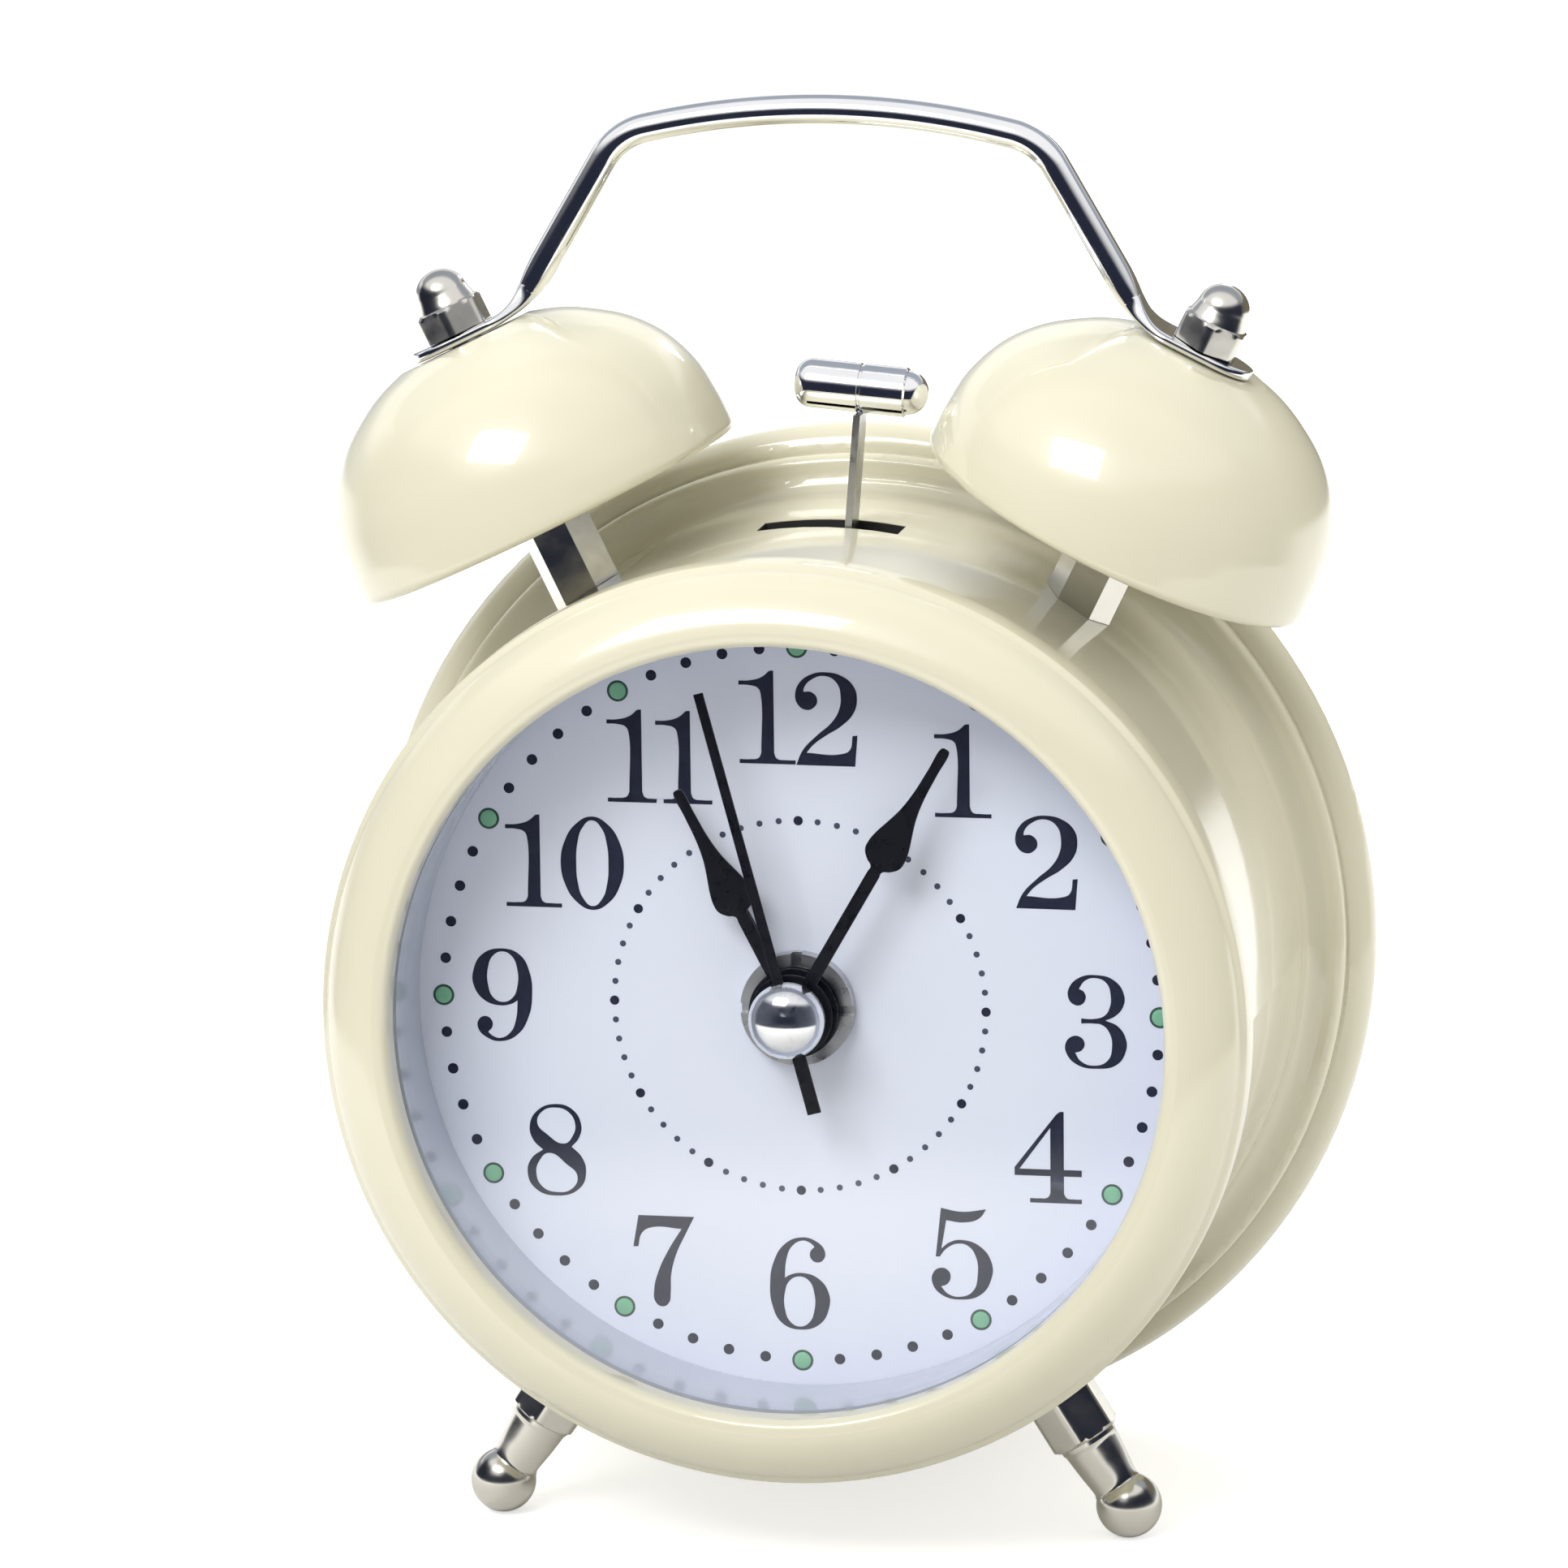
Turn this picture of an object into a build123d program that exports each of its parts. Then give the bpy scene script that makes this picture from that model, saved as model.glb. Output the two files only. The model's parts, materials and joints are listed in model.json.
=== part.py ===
from build123d import *
import math
import os

# Twin bell alarm clock, drawn upright about its dial, then leaned back onto its two feet and rear rim.
# Dial frame: x to the right seen from the front, y to the back, z up, origin on the dial's front face.

os.makedirs("parts", exist_ok=True)

# Shared fits
cut_over = 2.0
run_fit = 0.08
seat_fit = 0.03
hole_play = 0.3

# Case shell
case_r = 39.2
case_wall = 0.8
case_front_y = -8.0
case_back_y = 29.2
flare_fillet = 2.0
flare_ledge = 0.7
flare_round = 0.8
rim_groove = 0.9
bead_reach = 5.8
bead_tube = 2.0
rim_back_y = 39.0
rim_taper = 0.3
bead_turn = 60.0
stop_width = 1.5
stop_thick = 0.8
lug_deep = 5.2
lug_wide = 6.0
lug_long = 6.0
lug_inset = 2.8
lug_angles = (30.0, 150.0, 270.0)

# Bezel, glass, dial ring and dial
bezel_lap = 0.8
bezel_wall = 0.7
bezel_skirt_y = -5.6
bezel_edge_y = -9.0
bezel_step = 0.6
bezel_step_y = -9.6
bezel_crest_in = 3.5
bezel_crest_y = -13.4
bezel_wide = 6.6
opening_y = -11.5
lip_y = -10.5
lens_lap = 4.0
lens_thick = 1.4
ring_wall = 0.9
ring_flange = 1.0
dial_thick = 0.5
dial_gap = 0.2

# Centre stack: arbor and tubes one inside the other
arbor_r = 0.5
minute_tube_r = 1.0
hour_tube_r = 1.55
alarm_tube_r = 2.1
bush_r = 3.5
bush_front_y = -1.65
dial_nut_r = 4.9
dial_nut_thick = 1.5
dial_nut_slot = 0.9

# Hands
hand_thick = 0.3
alarm_hand_y = -2.15
hour_hand_y = -3.0
minute_hand_y = -4.2
second_hand_y = -5.4
alarm_hub_r = 3.9
hour_hub_r = 3.9
minute_hub_r = 3.6
second_hub_r = 2.7
hour_length = 21.6
hour_leaf_from = 9.9
minute_length = 27.2
minute_leaf_from = 14.5
leaf_half = 1.8
shaft_half = 0.57
leaf_at_shares = (0.0, 0.037, 0.09, 0.152, 0.226, 0.32, 0.4, 0.47, 0.61, 0.8, 1.0)
leaf_half_shares = (0.31, 0.66, 0.955, 1.0, 0.915, 0.72, 0.55, 0.43, 0.3, 0.25, 0.2)
second_length = 29.0
second_tail = 8.5
second_wide = 0.9
second_tail_wide = 1.2
alarm_length = 11.0
alarm_wide = 1.2
cap_r = 3.3
cap_high = 2.8
hour_angle = 332.4
minute_angle = 30.0
second_angle = 344.9
alarm_angle = 331.5

# Movement box and the layers of its wheels
plate_y = 0.6
plate_thick = 1.15
box_half = 24.0
box_corner = 3.0
box_wall = 1.2
box_back_y = 12.8
boss_at = 20.5
boss_r = 2.2
box_screw_r = 0.9
box_screw_head_r = 1.7
box_screw_head = 0.9
wheel_thick = 0.8
pinion_thick = 1.0
layer_alarm_y = 2.2
layer_hour_y = 3.5
layer_motion_y = 4.8
layer_centre_y = 6.1
layer_third_y = 7.4
layer_second_y = 8.7
layer_step_y = 10.0
pivot_r = 0.4
pivot_in = 0.6

# Tooth form, shares of the pitch and of the module
tooth_tip_share = 0.2
tooth_root_share = 0.5
addendum_share = 0.8
dedendum_share = 1.15

# Tooth counts
alarm_teeth = 36
alarm_pinion_teeth = 16
hour_teeth = 40
motion_pinion_teeth = 10
cannon_teeth = 12
motion_teeth = 36
centre_teeth = 64
third_pinion_teeth = 8
third_teeth = 60
second_pinion_teeth = 8
second_teeth = 50
step_pinion_teeth = 10
step_teeth = 48
rotor_teeth = 8
crank_teeth = 40
motor_teeth = 10

# Wheel places, each a distance from its neighbour and a direction
motion_reach = 12.0
motion_dir = 0.0
alarm_reach = 13.0
alarm_dir = 180.0
third_reach = 10.8
third_dir = 90.0
step_reach = 10.8
step_dir = 270.0
rotor_reach = 8.4
rotor_dir = 225.0

# Stepping motor, circuit board and crystal
magnet_r = 2.0
magnet_long = 2.6
stator_thick = 1.2
stator_y = 5.6
stator_gap = 0.5
stator_ring = 1.6
core_wide = 2.0
coil_r = 2.7
coil_long = 11.0
coil_cheek = 0.8
coil_cheek_r = 3.1
coil_x = 7.0
coil_z = -19.0
board_wide = 9.4
board_high = 10.2
board_thick = 1.0
board_x = 13.1
board_z = -16.8
board_y = 9.4
crystal_r = 0.55
crystal_long = 6.0

# Striker: hammer, crank wheel, motor and their plate
strike_y = 16.0
hammer_pivot_z = 18.0
hammer_lean = 4.8
hammer_pin_r = 1.0
hammer_pin_head_r = 1.8
hammer_pin_head = 0.6
hammer_hub_r = 2.6
hammer_deep = 3.4
strip_thick = 0.6
head_at = 33.2
head_long = 11.7
head_r = 2.15
head_round = 1.5
head_seam = 0.25
head_seam_deep = 0.15
fork_half = 4.2
fork_prong = 1.2
fork_long = 15.5
fork_bridge = 5.0
fork_thick = 1.6
crank_drop = 12.0
crank_throw = 1.5
crank_pin_r = 0.6
crank_axle_r = 0.8
striker_module = 0.5
gear_y = 18.25
gear_thick = 1.2
striker_plate_y = 19.8
striker_plate_thick = 0.8
striker_left = -15.0
striker_right = 19.0
striker_low = -6.8
striker_high = 25.0
pillar_r = 1.5
pillar_screw_r = 0.7
pillar_screw_head_r = 1.5
pillar_screw_head = 0.8
pillar_low_x = 9.0
pillar_low_z = -5.2
pillar_high_z = 21.5
pillar_left_x = -12.0
pillar_right_x = 16.8
stem_clear = 0.7
motor_dir = 39.8
motor_r = 7.4
motor_long = 11.6
motor_boss_r = 2.2
motor_shaft_r = 0.5
motor_shaft_in = 4.0
motor_round = 1.0

# Rear cover, tray, battery and controls
cover_inset = 2.2
cover_thick = 1.8
cover_edge_round = 0.5
battery_r = 7.1
battery_long = 50.4
battery_nub_r = 2.6
battery_nub = 1.2
battery_round = 0.8
battery_z = -15.5
battery_y = 25.2
tray_gap = 0.3
tray_end = 3.0
tray_wall = 1.0
door_thick = 1.0
door_ledge = 0.8
door_gap = 0.15
door_grip = 0.6
door_grip_wide = 12.0
door_grip_step = 1.4
spring_wire_r = 0.35
spring_r = 3.0
spring_turns = 2.5
spring_end = 0.15
contact_thick = 0.4
contact_high = 9.0
contact_wide = 8.0
contact_bump_r = 1.6
knob_r = 5.5
knob_deep = 4.5
knob_gap = 0.4
knob_flutes = 12
knob_flute_r = 0.7
stem_r = 1.0
cover_screw_r = 1.2
cover_screw_head_r = 2.3
cover_screw_head = 1.2
cover_screw_long = 5.0
screw_slot = 0.6
screw_slot_deep = 0.5
switch_z = 27.5
switch_half = 6.5
switch_high = 5.4
switch_deep = 4.6
switch_travel = 5.0
switch_stem = 3.0
switch_stem_high = 1.8
switch_cap = 5.0
switch_cap_high = 4.4
switch_cap_deep = 1.9
switch_rib = 0.5

# Bells, posts, nuts and handle
bell_tilt = 26.0
bell_offset = 5.1
bell_stand = 6.9
bell_r = 17.9
bell_high = 16.9
bell_wall = 1.0
bell_lip = 0.35
bell_flat_r = 6.2
bell_heights_share = (0.2, 0.4, 0.6, 0.76, 0.88, 0.95)
bell_radii_share = (0.996, 0.97, 0.89, 0.764, 0.608, 0.48)
stud_r = 1.5
hex_flat = 5.5
stud_nut_thick = 2.4
stud_nut_drop = 2.2
stud_in = 5.0
acorn_hex = 2.6
acorn_dome_r = 2.45
acorn_high = 5.8
acorn_stud = 3.6
tongue_thick = 1.0
tongue_wide = 6.2
tongue_in = 7.0
tongue_out = 4.6
wire_r = 1.35
foot_r = 1.45
handle_rise = 36.0
handle_arch_r = 69.9
handle_arch_turn = 13.3
handle_shoulder_r = 5.7
handle_foot_rise = 1.5

# Legs
leg_angle = 32.0
leg_y = 4.5
leg_reach = 13.0
leg_ball_r = 2.85
leg_hex_flat = 5.8
leg_hex_long = 6.3
leg_collar = 0.3
leg_body_r = 2.6
leg_neck_r = 2.1
leg_neck_reach = 10.8
slot_half = 6.2
slot_deep = 4.3

# Values that follow from those above
plate_back_y = plate_y + plate_thick
box_floor_y = box_back_y - box_wall
case_in_r = case_r - case_wall
bead_r = case_r + bead_reach
bezel_r = case_r + bezel_lap
bezel_crest_r = bezel_r - bezel_crest_in
opening_r = bezel_r - bezel_wide
lens_r = opening_r + lens_lap
cover_r = bead_r - cover_inset
bell_rim_s = case_r + bell_stand
leg_ball_s = case_r + leg_reach
leg_hex_end = case_r + leg_hex_long
leg_neck_s = case_r + leg_neck_reach
handle_top_z = case_r + handle_rise
bead_centre_r = bead_r - bead_tube
flare_top_y = case_back_y + flare_fillet
groove_y = flare_top_y + flare_round
bead_y = groove_y + rim_groove + bead_tube
ledge_r = case_r + flare_fillet + flare_ledge
cover_y = bead_y - (bead_tube - case_wall) + seat_fit
cover_back_y = cover_y + cover_thick
screw_ring_r = case_in_r - lug_inset
dial_r = case_in_r - dial_gap
lens_y = lip_y + seat_fit
lens_back_y = lens_y + lens_thick
plate_hole = pivot_r + run_fit
striker_plate_back_y = striker_plate_y + striker_plate_thick
tray_half = battery_r + tray_gap
tray_half_long = battery_long / 2 + tray_end
tray_front_y = battery_y - battery_r - tray_gap
bell_top_s = bell_rim_s + bell_high
handle_foot_s = bell_top_s + handle_foot_rise
tongue_top_s = bell_top_s + tongue_thick
knob_front_y = cover_back_y + knob_gap


def slab(face, y0, y1):
    """A flat drawing in x and z, thickened from depth y0 back to depth y1."""
    return extrude(Plane.XZ.offset(-y0) * face, amount=y1 - y0, dir=(0, 1, 0))


def rod(r, y0, y1, x=0.0, z=0.0):
    """A round bar along the depth."""
    return slab(Pos(x, z) * Circle(r), y0, y1)


def pipe(r_in, r_out, y0, y1, x=0.0, z=0.0):
    """A round tube along the depth."""
    return slab(Pos(x, z) * (Circle(r_out) - Circle(r_in)), y0, y1)


def spun(points_face):
    """Turn a drawing in radius and depth about the clock's own axis."""
    return revolve(points_face, Axis.Y)


def turned(points):
    """Turn a drawing in radius and height about the upright axis."""
    return revolve(make_face(Plane.XZ * Polyline(*points, close=True)), Axis.Z)


def polar(reach, direction, start=(0.0, 0.0)):
    """A place at a distance and a direction from another one."""
    a = math.radians(direction)
    return (start[0] + reach * math.cos(a), start[1] + reach * math.sin(a))


def toothed(teeth, module, phase):
    """Outline of a wheel with straight sided teeth, one tooth pointing at the phase angle."""
    pitch_r = teeth * module / 2
    tip_r = pitch_r + addendum_share * module
    root_r = pitch_r - dedendum_share * module
    step = 360.0 / teeth
    half_root = tooth_root_share * step / 2
    half_tip = tooth_tip_share * step * pitch_r / tip_r / 2
    points = []
    for i in range(teeth):
        a = phase + i * step
        points.append(polar(root_r, a - half_root))
        points.append(polar(tip_r, a - half_tip))
        points.append(polar(tip_r, a + half_tip))
        points.append(polar(root_r, a + half_root))
    return make_face(Polyline(*points, close=True))


def meshed(phase, direction, teeth, other_teeth):
    """Phase of the second wheel so that its gaps face the first wheel's teeth."""
    turn = (phase - direction) * teeth / other_teeth
    return direction + 180.0 - turn + 180.0 / other_teeth


def gear(teeth, module, phase, y0, thick, at=(0.0, 0.0), bore=0.0):
    """A toothed wheel at its place, with a bore if one is given."""
    face = toothed(teeth, module, phase)
    if bore > 0:
        face = face - Circle(bore)
    return slab(Pos(at[0], at[1]) * face, y0, y0 + thick)


def hexagon(flat):
    """A hexagon of a given width across its flats."""
    return RegularPolygon(flat / 2, 6, major_radius=False)


def screw(r, long, head_r, head, slot=True):
    """A pan head screw along z, its head standing above z = 0."""
    body = Pos(0, 0, -long / 2) * Cylinder(r, long) + Pos(0, 0, head / 2) * Cylinder(head_r, head)
    if slot:
        body = body - Pos(0, 0, head) * Box(2 * head_r + cut_over, screw_slot, 2 * screw_slot_deep)
    return body


nodes = {}

# Frames for the two bells and the two legs: each has its own z along the post or the leg
bell_frames = []
leg_frames = []
for side in (-1, 1):
    bell_frames.append(Pos(0, strike_y, 0) * Rot(0, side * bell_tilt, 0) * Pos(side * bell_offset, 0, 0))
    leg_frames.append(Pos(0, leg_y, 0) * Rot(0, side * (180.0 - leg_angle), 0))


# Case shell: a drum that flares into a beaded rear rim
def case_section(inset):
    """Half section of the case, drawn as radius and depth, taken in by a wall."""
    r = case_r - inset
    tube = bead_tube - inset
    ledge = ledge_r - inset
    top_y = flare_top_y + inset
    front = Vector(0, case_front_y)
    p0 = Vector(r, case_front_y)
    p1 = Vector(r, top_y - flare_fillet)
    p2 = Vector(r + flare_fillet, top_y)
    p3 = Vector(ledge, top_y)
    p4 = Vector(ledge + flare_round, top_y + flare_round)
    p5 = Vector(ledge + flare_round, bead_y - tube)
    p6 = Vector(bead_centre_r, bead_y - tube)
    p7 = Vector(bead_centre_r + tube, bead_y)
    turn = math.radians(bead_turn)
    p8 = Vector(bead_centre_r + tube * math.cos(turn), bead_y + tube * math.sin(turn))
    p9 = Vector(p8.X - rim_taper, rim_back_y)
    half = math.sqrt(0.5)
    m1 = Vector(r + flare_fillet * (1 - half), top_y - flare_fillet * (1 - half))
    m3 = Vector(ledge + flare_round * half, top_y + flare_round * (1 - half))
    m6 = Vector(bead_centre_r + tube * half, bead_y - tube * half)
    mid = math.radians(bead_turn / 2)
    m7 = Vector(bead_centre_r + tube * math.cos(mid), bead_y + tube * math.sin(mid))
    edges = [Line(front, p0), Line(p0, p1), ThreePointArc(p1, m1, p2), Line(p2, p3)]
    edges += [ThreePointArc(p3, m3, p4), Line(p4, p5), Line(p5, p6), ThreePointArc(p6, m6, p7)]
    edges += [ThreePointArc(p7, m7, p8), Line(p8, p9), Line(p9, Vector(0, rim_back_y))]
    edges += [Line(Vector(0, rim_back_y), front)]
    return make_face(edges)


case_shell = spun(case_section(0.0)) - spun(case_section(case_wall))
case_shell += pipe(case_in_r - stop_width, case_in_r + case_wall / 2, dial_thick, dial_thick + stop_thick)
for angle in lug_angles:
    lug_mid = screw_ring_r - lug_inset + lug_deep / 2
    lug = Pos(lug_mid + lug_inset / 2, cover_y - seat_fit - lug_long / 2, 0)
    lug = lug * Box(lug_deep + lug_inset, lug_long, lug_wide)
    lug = lug & rod(case_in_r + case_wall / 2, cover_y - 2 * lug_long, cover_y)
    case_shell += Rot(0, -angle, 0) * lug
for angle in lug_angles:
    lug_x, lug_z = polar(screw_ring_r, angle)
    lug_hole_y = cover_back_y - cover_screw_long - cut_over
    case_shell -= rod(cover_screw_r + seat_fit, lug_hole_y, cover_y + cut_over, lug_x, lug_z)
for frame in bell_frames + leg_frames:
    case_shell -= frame * Pos(0, 0, case_in_r) * Cylinder(stud_r + run_fit, 2 * stud_in)
case_shell -= Pos(0, strike_y, case_r) * Box(2 * slot_half, slot_deep, case_r / 2)
nodes["case_shell"] = case_shell

# Bezel: one rolled ring pressed over the front edge of the case
bezel_skirt_in = case_r + seat_fit
bezel_front_r = bezel_r - bezel_step
bezel_path = [
    Line((bezel_skirt_in, bezel_skirt_y), (bezel_r, bezel_skirt_y)),
    Line((bezel_r, bezel_skirt_y), (bezel_r, bezel_edge_y)),
    Line((bezel_r, bezel_edge_y), (bezel_front_r, bezel_step_y)),
    Spline(
        (bezel_front_r, bezel_step_y),
        (bezel_crest_r, bezel_crest_y),
        (opening_r, opening_y),
        tangents=[(0, -1), (0, 1)],
    ),
    Line((opening_r, opening_y), (opening_r, lip_y)),
    Line((opening_r, lip_y), (opening_r + bezel_wall, lip_y)),
    Line((opening_r + bezel_wall, lip_y), (opening_r + bezel_wall, opening_y)),
    Spline(
        (opening_r + bezel_wall, opening_y),
        (bezel_crest_r, bezel_crest_y + bezel_wall),
        (bezel_front_r - bezel_wall, bezel_step_y),
        tangents=[(0, -1), (0, 1)],
    ),
    Line((bezel_front_r - bezel_wall, bezel_step_y), (bezel_front_r - bezel_wall, case_front_y - seat_fit)),
    Line((bezel_front_r - bezel_wall, case_front_y - seat_fit), (bezel_skirt_in, case_front_y - seat_fit)),
    Line((bezel_skirt_in, case_front_y - seat_fit), (bezel_skirt_in, bezel_skirt_y)),
]
nodes["bezel"] = spun(make_face(bezel_path))
nodes["lens"] = rod(lens_r, lens_y, lens_back_y)

# Dial ring: the pale wall between glass and dial
dial_ring = pipe(opening_r, opening_r + ring_wall, lens_back_y + seat_fit, -seat_fit)
dial_ring += pipe(opening_r, dial_r, -seat_fit - ring_flange, -seat_fit)
nodes["dial_ring"] = dial_ring
nodes["dial"] = pipe(bush_r + seat_fit, dial_r, 0, dial_thick - seat_fit)

# Slotted nut that clamps the dial to the movement
dial_nut = pipe(bush_r + seat_fit, dial_nut_r, -dial_nut_thick, -seat_fit)
for angle in (0.0, 90.0):
    notch = Pos(0, -dial_nut_thick, 0) * Box(2 * dial_nut_r + cut_over, dial_nut_thick, dial_nut_slot)
    dial_nut -= Rot(0, angle, 0) * notch
nodes["dial_nut"] = dial_nut

# Places of the wheels in the movement
motion_at = polar(motion_reach, motion_dir)
alarm_at = polar(alarm_reach, alarm_dir)
third_at = polar(third_reach, third_dir)
step_at = polar(step_reach, step_dir)
rotor_at = polar(rotor_reach, rotor_dir, step_at)
stem_spots = (motion_at, alarm_at)
corner_spots = [(x * boss_at, z * boss_at) for x in (-1, 1) for z in (-1, 1)]
pillar_spots = [
    (-pillar_low_x, pillar_low_z),
    (pillar_low_x, pillar_low_z),
    (pillar_left_x, pillar_high_z),
    (pillar_right_x, pillar_high_z),
]

# Movement box, front plate with the bush through the dial
box_face = RectangleRounded(2 * box_half, 2 * box_half, box_corner)
movement_front = slab(box_face, plate_y, plate_back_y) + rod(bush_r, bush_front_y, plate_y)
movement_front -= rod(alarm_tube_r + run_fit, bush_front_y - cut_over, plate_back_y + cut_over)
for spot in (motion_at, alarm_at, third_at, step_at, rotor_at):
    movement_front -= rod(plate_hole, plate_back_y - pivot_in - seat_fit, plate_back_y + cut_over, *spot)
for spot in corner_spots:
    movement_front -= rod(box_screw_r + seat_fit, plate_y - cut_over, plate_back_y + cut_over, *spot)
nodes["movement_front"] = movement_front

# Movement box, rear shell with its corner bosses
movement_rear = slab(box_face, plate_back_y, box_back_y)
inner_face = RectangleRounded(2 * (box_half - box_wall), 2 * (box_half - box_wall), box_corner - box_wall)
movement_rear -= slab(inner_face, plate_back_y - cut_over, box_floor_y)
for spot in corner_spots:
    movement_rear += rod(boss_r, plate_back_y, box_floor_y, *spot)
for spot in corner_spots:
    movement_rear -= rod(box_screw_r + seat_fit, plate_y, box_back_y + cut_over, *spot)
for spot in (third_at, step_at, rotor_at):
    movement_rear -= rod(plate_hole, box_floor_y - cut_over, box_floor_y + pivot_in + seat_fit, *spot)
movement_rear -= rod(arbor_r + run_fit, box_floor_y - cut_over, box_floor_y + pivot_in + seat_fit)
for spot in stem_spots:
    movement_rear -= rod(stem_r + run_fit, box_floor_y - cut_over, box_back_y + cut_over, *spot)
for spot in pillar_spots:
    movement_rear -= rod(pillar_screw_r + seat_fit, box_floor_y + seat_fit, box_back_y + cut_over, *spot)
nodes["movement_rear"] = movement_rear

movement_screws = Part()
for spot in corner_spots:
    one = screw(box_screw_r, box_back_y - plate_y, box_screw_head_r, box_screw_head)
    movement_screws += Pos(spot[0], box_back_y, spot[1]) * Rot(-90, 0, 0) * one
nodes["movement_screws"] = movement_screws

# Modules follow from the distances and the tooth counts
alarm_module = 2 * alarm_reach / (alarm_teeth + alarm_pinion_teeth)
hour_module = 2 * motion_reach / (hour_teeth + motion_pinion_teeth)
motion_module = 2 * motion_reach / (cannon_teeth + motion_teeth)
centre_module = 2 * third_reach / (centre_teeth + third_pinion_teeth)
third_module = 2 * third_reach / (third_teeth + second_pinion_teeth)
second_module = 2 * step_reach / (second_teeth + step_pinion_teeth)
step_module = 2 * rotor_reach / (step_teeth + rotor_teeth)
back_pivot_y = box_floor_y + pivot_in
front_pivot_y = plate_back_y - pivot_in

# Alarm wheel and its pinion on the setting stem
alarm_wheel = gear(alarm_teeth, alarm_module, 0.0, layer_alarm_y, wheel_thick)
alarm_wheel += rod(alarm_tube_r, alarm_hand_y, layer_alarm_y + wheel_thick)
alarm_wheel -= rod(hour_tube_r + run_fit, alarm_hand_y - cut_over, layer_alarm_y + wheel_thick + cut_over)
nodes["alarm_wheel"] = alarm_wheel
alarm_phase = meshed(0.0, alarm_dir, alarm_teeth, alarm_pinion_teeth)
alarm_pinion = gear(alarm_pinion_teeth, alarm_module, alarm_phase, layer_alarm_y, wheel_thick, alarm_at)
alarm_pinion += rod(pivot_r, front_pivot_y, layer_alarm_y, *alarm_at)
nodes["alarm_pinion"] = alarm_pinion

# Hour wheel, minute wheel with its cannon pinion, and the motion wheel between them
hour_back_y = layer_hour_y + wheel_thick
hour_wheel = gear(hour_teeth, hour_module, 0.0, layer_hour_y, wheel_thick)
hour_wheel += rod(hour_tube_r, hour_hand_y, hour_back_y)
hour_wheel -= rod(minute_tube_r + run_fit, hour_hand_y - cut_over, hour_back_y + cut_over)
nodes["hour_wheel"] = hour_wheel
motion_pinion_phase = meshed(0.0, motion_dir, hour_teeth, motion_pinion_teeth)
motion_phase = meshed(0.0, motion_dir, cannon_teeth, motion_teeth)
motion_wheel = gear(motion_teeth, motion_module, motion_phase, layer_motion_y, wheel_thick, motion_at)
motion_low_y = layer_hour_y
motion_high = layer_motion_y - layer_hour_y
motion_wheel += gear(motion_pinion_teeth, hour_module, motion_pinion_phase, motion_low_y, motion_high, motion_at)
motion_wheel += rod(pivot_r, front_pivot_y, layer_hour_y, *motion_at)
nodes["motion_wheel"] = motion_wheel
centre_back_y = layer_centre_y + wheel_thick
centre_wheel = gear(centre_teeth, centre_module, 0.0, layer_centre_y, wheel_thick)
centre_wheel += gear(cannon_teeth, motion_module, 0.0, layer_motion_y, layer_centre_y - layer_motion_y)
centre_wheel += rod(minute_tube_r, minute_hand_y, centre_back_y)
centre_wheel -= rod(arbor_r + run_fit, minute_hand_y - cut_over, centre_back_y + cut_over)
nodes["centre_wheel"] = centre_wheel

# Third wheel, second wheel, stepping wheel and rotor
third_phase = meshed(0.0, third_dir, centre_teeth, third_pinion_teeth)
third_high = layer_third_y - layer_centre_y
third_wheel = gear(third_teeth, third_module, third_phase, layer_third_y, wheel_thick, third_at)
third_wheel += gear(third_pinion_teeth, centre_module, third_phase, layer_centre_y, third_high, third_at)
third_wheel += rod(pivot_r, front_pivot_y, back_pivot_y, *third_at)
nodes["third_wheel"] = third_wheel
second_phase = meshed(third_phase, third_dir + 180.0, third_teeth, second_pinion_teeth)
second_high = layer_second_y - layer_third_y
second_wheel = gear(second_teeth, second_module, 0.0, layer_second_y, wheel_thick)
second_wheel += gear(second_pinion_teeth, third_module, second_phase, layer_third_y, second_high)
second_wheel += rod(arbor_r, second_hand_y, back_pivot_y)
nodes["second_wheel"] = second_wheel
step_phase = meshed(0.0, step_dir, second_teeth, step_pinion_teeth)
step_high = layer_step_y - layer_second_y
step_wheel = gear(step_teeth, step_module, step_phase, layer_step_y, wheel_thick, step_at)
step_wheel += gear(step_pinion_teeth, second_module, step_phase, layer_second_y, step_high, step_at)
step_wheel += rod(pivot_r, front_pivot_y, back_pivot_y, *step_at)
nodes["step_wheel"] = step_wheel
rotor_phase = meshed(step_phase, rotor_dir, step_teeth, rotor_teeth)
magnet_y = stator_y + stator_thick / 2 - magnet_long / 2
rotor = gear(rotor_teeth, step_module, rotor_phase, layer_step_y, pinion_thick, rotor_at)
rotor += rod(magnet_r, magnet_y, magnet_y + magnet_long, *rotor_at)
rotor += rod(pivot_r, front_pivot_y, back_pivot_y, *rotor_at)
nodes["rotor"] = rotor

# Stator bar round the rotor and through the coil, then the coil, the board and the crystal
pole_r = magnet_r + stator_gap
stator_high = 2 * (pole_r + stator_ring)
stator_right = coil_x + coil_long / 2 + stator_ring
stator = rod(pole_r + stator_ring, stator_y, stator_y + stator_thick, *rotor_at)
bar_long = stator_right - rotor_at[0]
bar = Pos((stator_right + rotor_at[0]) / 2, coil_z) * Rectangle(bar_long, core_wide)
stator += slab(bar, stator_y, stator_y + stator_thick)
stator -= rod(pole_r, stator_y - cut_over, stator_y + stator_thick + cut_over, *rotor_at)
nodes["stator"] = stator
coil_frame = Pos(coil_x, stator_y + stator_thick / 2, coil_z) * Rot(0, 90, 0)
coil = coil_frame * Cylinder(coil_r, coil_long)
for side in (-1, 1):
    cheek_at = side * (coil_long - coil_cheek) / 2
    coil += coil_frame * Pos(0, 0, cheek_at) * Cylinder(coil_cheek_r, coil_cheek)
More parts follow.
